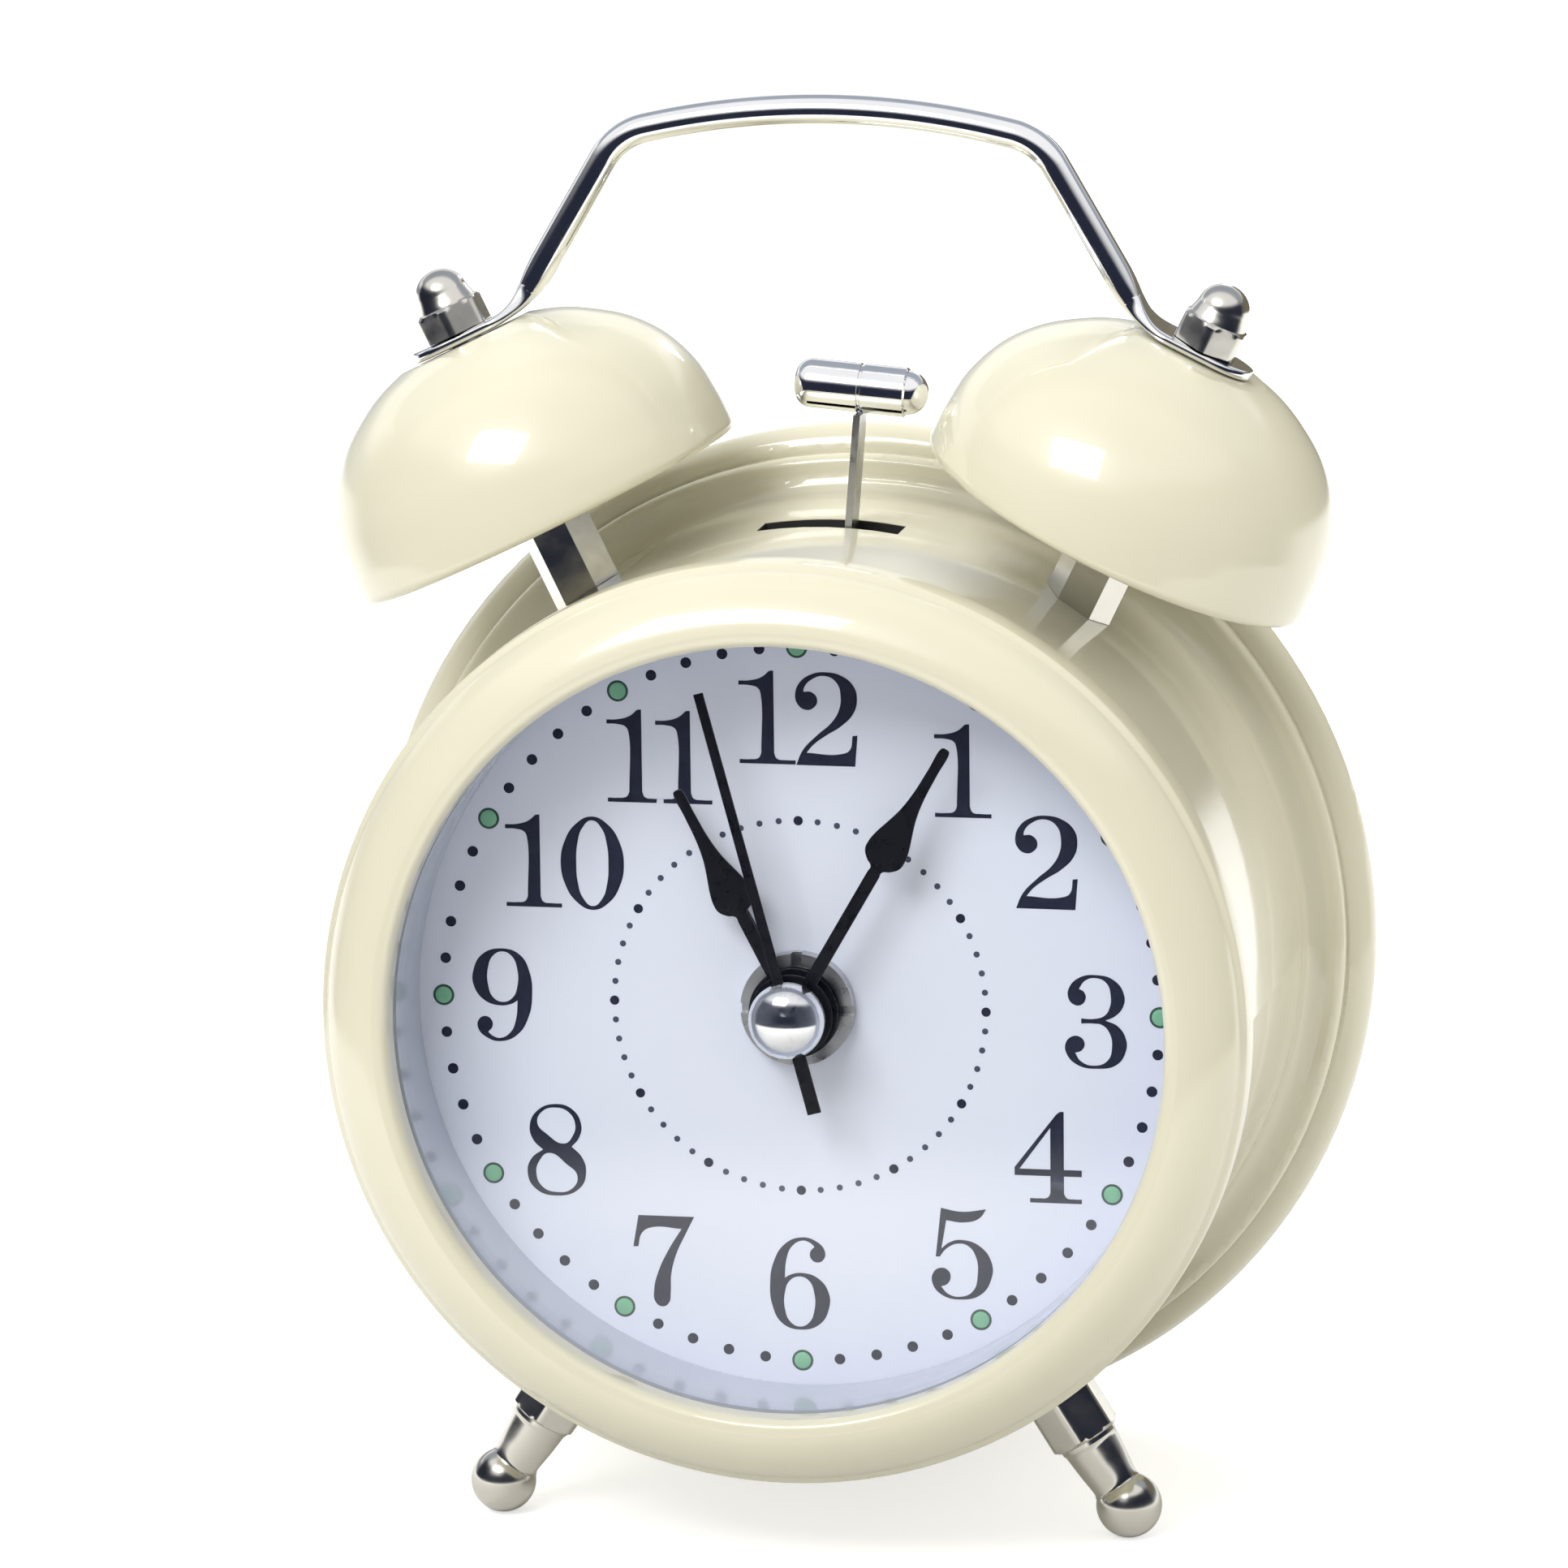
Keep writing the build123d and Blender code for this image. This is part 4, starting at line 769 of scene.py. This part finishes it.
# %% Numeral outlines
figures = {
    "0": [
        [(339, 70), (400, 100), (441, 165), (455, 241), (441, 317), (400, 382), (339, 412), (278, 382),
         (237, 317), (223, 241), (237, 165), (278, 100)],
        [(339, 84), (374, 112), (393, 170), (398, 241), (393, 312), (374, 370), (339, 398), (304, 370),
         (285, 312), (280, 241), (285, 170), (304, 112)],
    ],
    "1": [
        [(147, 62, 1), (148, 362, 1), (158, 381), (190, 386), (226, 386, 1), (226, 401, 1), (22, 401, 1),
         (22, 386, 1), (60, 386), (91, 380), (101, 362, 1), (101, 152), (91, 127), (60, 117), (20, 116, 1),
         (20, 101, 1), (62, 99), (105, 86), (132, 63, 1)],
    ],
    "2": [
        [(128, 402, 1), (152, 348), (205, 292), (258, 244), (284, 200), (291, 150), (276, 100), (235, 77),
         (184, 92), (158, 122), (156, 136, 1), (186, 137), (206, 165), (190, 195), (162, 201), (135, 182),
         (126, 146), (142, 103), (182, 73), (235, 63), (300, 78), (340, 115), (350, 160), (338, 208),
         (295, 255), (235, 294), (190, 328), (166, 357, 1), (298, 357), (322, 344), (333, 292, 1),
         (351, 290, 1), (342, 403, 1)],
    ],
    "3": [
        [(188, 226, 1), (236, 226), (274, 212), (292, 180), (295, 142), (280, 95), (240, 77), (202, 88),
         (180, 118, 1), (199, 130), (204, 155), (186, 177), (160, 175), (141, 150), (146, 112), (182, 77),
         (240, 66), (308, 84), (343, 135), (340, 178), (312, 213), (276, 231, 1), (322, 252), (350, 298),
         (350, 338), (318, 390), (245, 408), (170, 394), (133, 352), (131, 320), (150, 295), (180, 292),
         (200, 315), (190, 342), (166, 352, 1), (186, 382), (236, 397), (284, 376), (299, 325), (290, 276),
         (264, 248), (232, 243), (188, 244, 1)],
    ],
    "4": [
        [(283, 62, 1), (297, 62, 1), (297, 275, 1), (362, 275, 1), (362, 299, 1), (297, 299, 1),
         (297, 362, 1), (307, 378), (335, 382), (362, 382, 1), (362, 398, 1), (174, 398, 1), (174, 382, 1),
         (208, 382), (238, 378), (248, 362, 1), (248, 299, 1), (118, 299, 1), (118, 270, 1), (270, 72, 1)],
        [(248, 122, 1), (136, 275, 1), (248, 275, 1)],
    ],
    "5": [
        [(165, 70, 1), (240, 82), (330, 70, 1), (305, 104), (250, 121), (184, 115, 1), (166, 220, 1),
         (196, 196), (240, 186), (310, 210), (350, 270), (348, 325), (310, 385), (235, 406), (165, 390),
         (132, 347), (135, 312), (160, 292), (190, 300), (199, 325), (187, 350), (164, 360, 1), (190, 387),
         (235, 396), (280, 374), (298, 312), (291, 245), (264, 208), (226, 200), (184, 220), (160, 250, 1),
         (145, 250, 1)],
    ],
    "6": [
        [(250, 64), (302, 77), (333, 110), (331, 140), (308, 155), (284, 143), (280, 118), (296, 97, 1),
         (278, 82), (250, 76), (212, 100), (192, 150), (186, 216, 1), (206, 204), (250, 196), (310, 215),
         (348, 270), (348, 322), (314, 383), (240, 406), (175, 384), (140, 320), (132, 240), (145, 160),
         (188, 90)],
        [(240, 209), (204, 226), (186, 270), (186, 332), (205, 378), (240, 395), (275, 378), (294, 332),
         (294, 270), (275, 224)],
    ],
    "7": [
        [(150, 70, 1), (355, 70, 1), (325, 130), (287, 212), (268, 288), (266, 350), (258, 393), (235, 406),
         (211, 392), (205, 345), (222, 275), (258, 198), (308, 116, 1), (190, 116), (162, 136),
         (148, 186, 1), (130, 186, 1)],
    ],
    "8": [
        [(240, 67), (302, 85), (334, 140), (326, 188), (298, 223, 1), (336, 262), (350, 312), (328, 374),
         (240, 406), (160, 380), (134, 320), (150, 270), (192, 237, 1), (157, 203), (144, 150), (172, 94)],
        [(240, 80), (286, 94), (312, 140), (302, 183), (272, 212), (208, 180), (172, 138), (192, 95)],
        [(212, 249), (278, 288), (318, 332), (298, 378), (240, 393), (188, 374), (166, 322), (180, 276)],
    ],
}
nine_turn = (480, 470)
figures["9"] = []
for line in figures["6"]:
    figures["9"].append([(nine_turn[0] - x, nine_turn[1] - y, *corner) for x, y, *corner in line])
print("figures drawn", sorted(figures))

# %% [markdown]
# Now each numeral is set in its place. The places follow a circle, but as on the real dial they are shifted
# a little, so that two wide figures don't crowd the dots.

# %% Numerals in place
figure_unit = 0.0239
figure_middle = (237, 237)
numeral_parts = {
    "1": [("1", 116, 0)], "10": [("1", 0, 6), ("0", 0, 0)], "11": [("1", 36, 8), ("1", 214, 8)],
    "12": [("1", 0, 0), ("2", 100, 0)],
}
numeral_places = {
    "12": (0.1, 25.0), "1": (14.25, 20.8), "2": (21.45, 13.1), "3": (25.6, -0.55), "4": (21.45, -12.7),
    "5": (13.9, -21.3), "6": (-0.3, -24.5), "7": (-12.25, -22.9), "8": (-21.6, -13.4), "9": (-26.1, 0.1),
    "10": (-20.45, 12.05), "11": (-12.3, 21.5),
}


def figure_lines(parts):
    """Outlines of one numeral about its middle, in millimetres. Each part is a figure and its shift."""
    lines = []
    for figure, move_x, move_y in parts:
        left, top = figure_middle[0] - move_x, figure_middle[1] - move_y
        for outline in figures[figure]:
            shifted = [(x - left, top - y, *corner) for x, y, *corner in outline]
            lines.append([(x * figure_unit, y * figure_unit, *corner) for x, y, *corner in shifted])
    return lines


for name, (x, y) in numeral_places.items():
    parts = numeral_parts.get(name, [(name, 0, 0)])
    mesh = stamped("numeral_" + name, figure_lines(parts), ink_low, ink_high)
    made("numeral_" + name, mesh, print_frame @ moved(x, y), "case", ink)

# %% [markdown]
# ## Bells
# Each bell is a thin steel dome, pressed and then enamelled. A dome is a lathe job: one outline, spun. The
# outline goes up the outside in a smooth line and comes back inside, one wall thickness away. The rim is
# round on the outside, where the enamel has drawn back.

# %% Bells
bell_tilt = math.radians(26.0)
bell_offset = 5.1
bell_plane = 16.0
bell_wall = 1.0
bell_rim = 46.1
bell_height = 16.9
bell_outside = [(17.9, 47.0), (17.83, 49.48), (17.36, 52.86), (15.93, 56.24), (13.68, 58.94), (10.88, 60.97),
                (8.59, 62.16), (6.2, 62.97)]
bell_lowered = 1 - bell_wall / bell_height
bell_inside = [(r - bell_wall, bell_rim + (h - bell_rim) * bell_lowered) for r, h in bell_outside[1:]]
bell_outline = flowing(bell_outside, 7) + [(1.6, 62.98), (1.6, 62.0)]
bell_outline += flowing(bell_inside[::-1] + [(17.0, 46.3)], 7)
bell_outline += [(17.05, 46.16)] + arc((17.15, 47.0), 0.75, 0.9, -90, 0, 8)[:-1]


def bell_place(side):
    """The place of a bell: leaning out from the middle of the case, its axis upright."""
    turn = Matrix.Rotation(side * bell_tilt, 4, "Y")
    return dial_frame @ moved(y=bell_plane) @ turn @ moved(x=bell_offset * side)


for node, side in (("bell_left", -1), ("bell_right", 1)):
    bell_mesh = lathe(bell_outline, 256)
    made("enamel_" + node, bell_mesh, bell_place(side), "case", enamel, node, crease=40.0)

# %% [markdown]
# ## Front ring
# The ring that holds the glass is rolled from one strip. It rises in a gentle dome from a fine step at the
# outside to a crest close to the opening, and turns in over a small round. The dome's lean shows in the
# photograph: the lamp's white band lies on the inner half of the ring. A skirt behind the step grips the
# case.

# %% Front ring
ring_face = [(39.41, 9.45), (39.08, 10.25), (38.2, 11.5), (36.95, 12.55), (35.7, 13.18), (34.75, 13.4)]
ring_turn = [(34.75, 13.4), (33.95, 13.22), (33.5, 12.65), (33.4, 11.8)]
ring_under = [(34.1, 11.8), (34.25, 12.45), (34.8, 12.66), (35.6, 12.48), (36.7, 11.86), (37.8, 10.9),
              (38.5, 9.9)]
ring_outline = [(39.25, 5.65), (39.32, 5.6), (39.9, 5.6), (40.0, 5.7), (40.0, 8.75), (39.93, 8.98)]
ring_outline += [(39.76, 9.12), (39.5, 9.3)] + flowing(ring_face, 7) + flowing(ring_turn, 6)[1:]
ring_outline += [(33.4, 10.62), (33.5, 10.52), (33.98, 10.52), (34.1, 10.62)] + flowing(ring_under, 5)
ring_outline += [(38.7, 9.2), (38.7, 8.05), (39.24, 8.05)]
ring_mesh = lathe(ring_outline, 320)
made("enamel_front_ring", ring_mesh, print_frame, "case", enamel, "bezel", crease=40.0)

# %% [markdown]
# ## Handle: the bent line
# The handle is one length of round wire. Its ends are hammered flat into tongues, which the nuts clamp on
# the bells. We follow the bent line from the top of the arch down the right side and out along the tongue.

# %% Handle: the bent line
arch_r = 69.9
arch_top = 75.2
arch_half_angle = 13.3
arch_middle = (0.0, arch_top - arch_r)
arch_end = math.radians(90.0 - arch_half_angle)
shoulder_r = 5.7
shoulder = tuple(m + (arch_r - shoulder_r) * f(arch_end) for m, f in zip(arch_middle, (math.cos, math.sin)))
tongue_half = 3.08
tongue_level = 63.52
tongue_round = 1.6
out_way = (math.cos(bell_tilt), -math.sin(bell_tilt))
up_way = (math.sin(bell_tilt), math.cos(bell_tilt))


def on_bell(out, height):
    """A point beside the right bell's axis, in the upright plane of the handle."""
    return tuple((bell_offset + out) * o + height * u for o, u in zip(out_way, up_way))


foot_x, foot_z = on_bell(-7.0, 64.5)
foot_reach = math.hypot(foot_x - shoulder[0], foot_z - shoulder[1])
foot_turn = math.atan2(foot_z - shoulder[1], foot_x - shoulder[0]) + math.acos(shoulder_r / foot_reach)
handle_line = arc(arch_middle, arch_r, arch_r, 90.0, math.degrees(arch_end), 16)
handle_line += arc(shoulder, shoulder_r, shoulder_r, math.degrees(arch_end), math.degrees(foot_turn), 14)[1:]
foot_bend = [(-8.6, 65.6), (-7.2, 64.72), (-5.8, 64.0), (-4.2, 63.6), (-2.6, tongue_level),
             (tongue_round, tongue_level)]
handle_line += flowing([handle_line[-1]] + [on_bell(*spot) for spot in foot_bend], 8)[1:]
tongue_end = [tongue_half * math.sin(math.radians(a)) for a in range(6, 90, 6)] + [tongue_half - 0.002]
handle_line += [on_bell(tongue_round + reach, tongue_level) for reach in tongue_end]
print("handle line", len(handle_line), "points")

# %% [markdown]
# ## Handle: the skin
# The section starts round and becomes wide and thin on the way, so wire and tongue are one skin, and the
# other half is the mirror image.

# %% Handle: the skin
wire_r = 1.33
tongue_thick = 0.47
wire_sides = 40
bell_side_x = 20.0
flat_from, flat_length = -9.6, 5.4
wide_from, wide_length = -7.6, 4.6
tongue_square = 2.5


def eased(place, start, length):
    """Ease from zero to one over a stretch."""
    t = max(0.0, min(1.0, (place - start) / length))
    return t * t * (3 - 2 * t)


def rounded(value, power):
    """A power that keeps the sign, for a section between circle and rectangle."""
    return math.copysign(abs(value) ** power, value)


def handle_ring(i):
    """The section of the handle at one point of its line."""
    x, z = handle_line[i]
    before, after = handle_line[max(i - 1, 0)], handle_line[min(i + 1, len(handle_line) - 1)]
    way = Vector((after[0] - before[0], 0, after[1] - before[1])).normalized()
    normal = Vector((way.z, 0, -way.x))
    out = x * out_way[0] + z * out_way[1] - bell_offset
    flat = eased(out, flat_from, flat_length) if x > bell_side_x else 0.0
    wide = eased(out, wide_from, wide_length) if x > bell_side_x else 0.0
    past_round = max(0.0, out - tongue_round) / tongue_half
    half_thick = wire_r + (tongue_thick - wire_r) * flat
    half_wide = (wire_r + (tongue_half - wire_r) * wide) * math.sqrt(max(0.0, 1 - past_round ** 2))
    power = 2.0 / (2.0 + tongue_square * flat)
    ring = []
    for k in range(wire_sides):
        a = 2 * math.pi * k / wire_sides
        up = rounded(math.cos(a), power) * half_thick * normal
        deep = rounded(math.sin(a), power) * half_wide
        ring.append((Vector((x, bell_plane + deep, z)) + up) * mm)
    return ring


right_rings = [handle_ring(i) for i in range(len(handle_line))]
left_rings = [[Vector((-p.x, p.y, p.z)) for p in ring] for ring in right_rings[:0:-1]]
handle_mesh = cleaned(skinned("bent_handle", left_rings + right_rings))
made("bent_handle", handle_mesh, dial_frame, "case", chrome, "handle", crease=50.0)

# %% [markdown]
# ## Hexagons
# Nuts and legs start as hexagon bar. On a real nut the corners of each end are turned off, which leaves a
# curved line on every flat. Cutting a hexagon by a cone gives that line: for each height, the outline is the
# hexagon wherever it lies inside the cone.

# %% Hexagon bar
bar_sides = 96
broken_corner = 0.12
cone_deep = 0.9
cone_share = 0.96
cone_slope = math.tan(math.radians(35))


def hexagon_bar(flats, low, high):
    """A hexagon bar between two heights, its corners broken and its upper end turned off by a cone."""
    corner_r = flats / 2 / math.cos(math.radians(30)) - broken_corner
    rings = []
    for h in [low, (low + high) / 2] + [high - t * cone_deep for t in (1.0, 0.6, 0.35, 0.15, 0.0)]:
        cone_r = flats / 2 * cone_share + (high - h) / cone_slope
        ring = []
        for k in range(bar_sides):
            a = 2 * math.pi * k / bar_sides
            from_flat = (a + math.radians(30)) % math.radians(60) - math.radians(30)
            r = min(flats / 2 / math.cos(from_flat), corner_r, cone_r)
            ring.append((r * math.cos(a) * mm, r * math.sin(a) * mm, h * mm))
        rings.append(ring)
    return cleaned(skinned("hexagon_bar", rings))


print("hexagon bar ready")

# %% [markdown]
# ## Acorn nuts and legs
# An acorn nut is a hexagon with a dome on it. A leg is a hexagon for the spanner, a tapered neck and a ball
# to stand on. The balls have to touch the floor, so they keep the size of the solids.

# %% Acorn nuts and legs
nut_flats = 5.5
leg_flats = 5.8
leg_plane = 4.5
leg_spread = 32.0
dome = [(0.0, 66.0), (2.66, 66.0)] + flowing([(2.66, 66.3), (2.55, 66.75), (2.4, 67.25), (2.28, 67.75)], 4)
dome += arc((0.0, 67.75), 2.28, 2.05, 0, 90, 16)[1:]
nut_pair = []
for side in (-1, 1):
    nut = together("nut", hexagon_bar(nut_flats, 64.03, 66.6), lathe(dome, 96))
    nut.transform(bell_place(side))
    nut_pair.append(nut)
nut_mesh = together("acorn_nut_pair", *nut_pair)
made("acorn_nut_pair", nut_mesh, Matrix.Identity(4), "case", nickel, "acorn_nuts", crease=30.0)

neck = [(0.0, 44.9), (2.5, 44.9), (2.62, 45.05), (2.62, 45.7), (2.5, 45.9)]
neck += flowing([(2.5, 45.9), (2.3, 48.0), (2.08, 49.8), (2.2, 50.25)], 5)[1:]
neck += arc((0.0, 52.2), 2.85, 2.85, -43, 90, 22)
for node, side in (("leg_left", -1), ("leg_right", 1)):
    leg_mesh = together("leg", hexagon_bar(leg_flats, 38.8, 45.3), lathe(neck, 96))
    turn = Matrix.Rotation(math.radians(side * (180.0 - leg_spread)), 4, "Y")
    leg_place = dial_frame @ moved(y=leg_plane) @ turn
    made("turned_" + node, leg_mesh, leg_place, "case", nickel, node, crease=30.0)

# %% [markdown]
# ## Hands
# The hands are stamped from thin brass and painted black. A stamped edge is never sharp, so the flat shapes
# get a fine round. Each hand has a small raised hub where it is pressed on its tube. A polished dome covers
# the middle and turns with the second hand.

# %% Hands
leaf_half = 1.8
shaft_half = 0.57
hand_thick = 0.3
hand_edge = 0.07
leaf_shares = [(0.0, 0.31), (0.037, 0.66), (0.09, 0.955), (0.152, 1.0), (0.226, 0.915), (0.32, 0.72),
               (0.4, 0.55), (0.47, 0.43), (0.61, 0.3), (0.8, 0.25), (0.99, 0.2)]


def hub_ring(bore, r, low):
    """The hub of a hand: a low ring with rounded edges."""
    high = low + hand_thick
    outer = [(r - 0.06, low), (r, low + 0.06), (r, high - 0.08), (r - 0.08, high)]
    return lathe([(bore, low)] + outer + [(bore, high)], 96)


def both_sides(right):
    """A closed outline from its right half."""
    return [right + [(-x, y, *corner) for x, y, *corner in reversed(right)]]


def spade(length, leaf_from, start):
    """The outline of a spade hand: shaft, leaf and point."""
    right = [(shaft_half, start, 1), (shaft_half, leaf_from - 0.5)]
    right += [(share * leaf_half, leaf_from + at * (length - leaf_from)) for at, share in leaf_shares]
    return both_sides(right + [(0.16, length - 0.02, 1)])


def bar(length, half, tip, tail, tail_half):
    """The outline of a straight hand that narrows to its tip, with a tail."""
    return both_sides([(tail_half, -tail, 1), (tail_half, -1.0, 1), (half, 1.0, 1), (tip, length, 1)])


def painted_hand(node, body, angle, low, outline, bore, hub_r):
    """A hand at its angle from twelve, lying at a height above the dial."""
    blade = stamped(node, outline, low, low + hand_thick, hand_edge)
    mesh = together("painted_" + node, blade, hub_ring(bore, hub_r, low))
    place = print_frame @ Matrix.Rotation(-math.radians(angle), 4, "Z")
    made("painted_" + node, mesh, place, body, hand_black, node, crease=40.0)


hour_spade = spade(length=21.6, leaf_from=9.55, start=2.2)
minute_spade = spade(length=27.2, leaf_from=15.0, start=1.6)
second_bar = bar(length=29.0, half=0.45, tip=0.42, tail=8.5, tail_half=0.6)
painted_hand("hour_hand", "hour", angle=332.4, low=2.7, outline=hour_spade, bore=1.6, hub_r=3.9)
painted_hand("minute_hand", "minute", angle=30.0, low=3.9, outline=minute_spade, bore=1.05, hub_r=3.6)
painted_hand("second_hand", "second", angle=344.9, low=5.1, outline=second_bar, bore=0.55, hub_r=2.7)
cap_outline = [(0.0, 5.45), (3.2, 5.45), (3.28, 5.53)] + arc((0.0, 6.1), 3.28, 2.1, 0, 90, 24)
cap_mesh = lathe(cap_outline, 128)
made("polished_cap", cap_mesh, print_frame, "second", chrome, "second_cap", crease=40.0)

# %% [markdown]
# ## Hammer head
# The head is a short chromed bar, turned with a fine seam round its middle, a round edge at the left and a
# domed nose at the right. It is lathe work again, laid on its side at the end of the stalk, and it rides
# with the hammer.

# %% Hammer head
hammer_pivot = 18.0
hammer_lean = 4.8
head_reach = 33.2
head_outline = arc((0.0, 4.05), 1.92, 1.8, 90, 4, 14) + [(1.94, 4.02), (2.06, 3.98), (2.15, 3.86)]
head_outline += [(2.15, 2.0), (2.15, 0.17), (2.1, 0.12), (2.02, 0.08), (2.02, -0.08), (2.1, -0.12)]
head_outline += [(2.15, -0.17), (2.15, -2.2), (2.15, -4.35)] + arc((0.65, -4.35), 1.5, 1.5, 0, -90, 12)[1:]
head_outline += [(0.0, -5.85)]
stalk_place = dial_frame @ moved(z=hammer_pivot) @ Matrix.Rotation(math.radians(hammer_lean), 4, "Y")
head_place = stalk_place @ moved(y=bell_plane, z=head_reach) @ Matrix.Rotation(math.radians(90.0), 4, "Y")
head_mesh = lathe(head_outline, 96)
made("turned_hammer_head", head_mesh, head_place, "hammer", chrome, "hammer_head", crease=25.0)

# %% [markdown]
# ## Marks on the back
# The back cover has a moulded rib near its edge, an arrow round each knob that shows which way to turn it,
# and ON and OFF beside the alarm switch. We draw them flat in a frame that looks at the back, so that they
# read the right way round from behind, and let them stand a tenth of a millimetre proud, as moulded marks
# do.

# %% Marks on the back
cover_back = 35.53
arrow_r = 7.6
arrow_half = 0.24
mark_low = -0.05
mark_high = 0.12
switch_height = 27.5
word_lift = 0.04
seen_from_behind = Matrix(((-1, 0, 0, 0), (0, 0, 1, 0), (0, 1, 0, 0), (0, 0, 0, 1)))
back_frame = dial_frame @ moved(y=cover_back) @ seen_from_behind
rib_outline = [(40.1, -0.1), (40.9, -0.1), (40.85, 0.2), (40.7, 0.3), (40.3, 0.3), (40.15, 0.2)]
made("cover_rib", lathe(rib_outline), back_frame, "case", cover_black, crease=50.0)


def turning_arrow(start, end):
    """The outline of a bent arrow round a knob, clockwise, between two angles in degrees from the right."""
    outline = []
    for r, first, last in ((arrow_r + arrow_half, start, end), (arrow_r - arrow_half, end, start)):
        edge = arc((0, 0), r, r, first, last, 8)
        edge[0] = (*edge[0], 1)
        edge[-1] = (*edge[-1], 1)
        outline.append(edge)
    barb = 2.6 * arrow_half
    tip = end - math.degrees(4.2 * arrow_half / arrow_r)
    head = [(r * math.cos(math.radians(a)), r * math.sin(math.radians(a)), 1)
            for r, a in ((arrow_r + barb, end), (arrow_r, tip), (arrow_r - barb, end))]
    return [outline[0] + head + outline[1]]


for name, x in (("time_arrow", -12.0), ("alarm_arrow", 13.0)):
    mesh = stamped(name, turning_arrow(140, 55), mark_low, mark_high)
    made(name, mesh, back_frame @ moved(x=x), "case", mark_white)
for word, x in (("ON", 10.2), ("OFF", -10.6)):
    letters = bpy.data.curves.new("switch_" + word.lower(), "FONT")
    letters.body = word
    letters.align_x = "CENTER"
    letters.align_y = "CENTER"
    letters.size = 2.6 * mm
    letters.extrude = 0.06 * mm
    place = back_frame @ moved(x, switch_height, word_lift)
    made("switch_" + word.lower(), filled(letters), place, "case", mark_white)
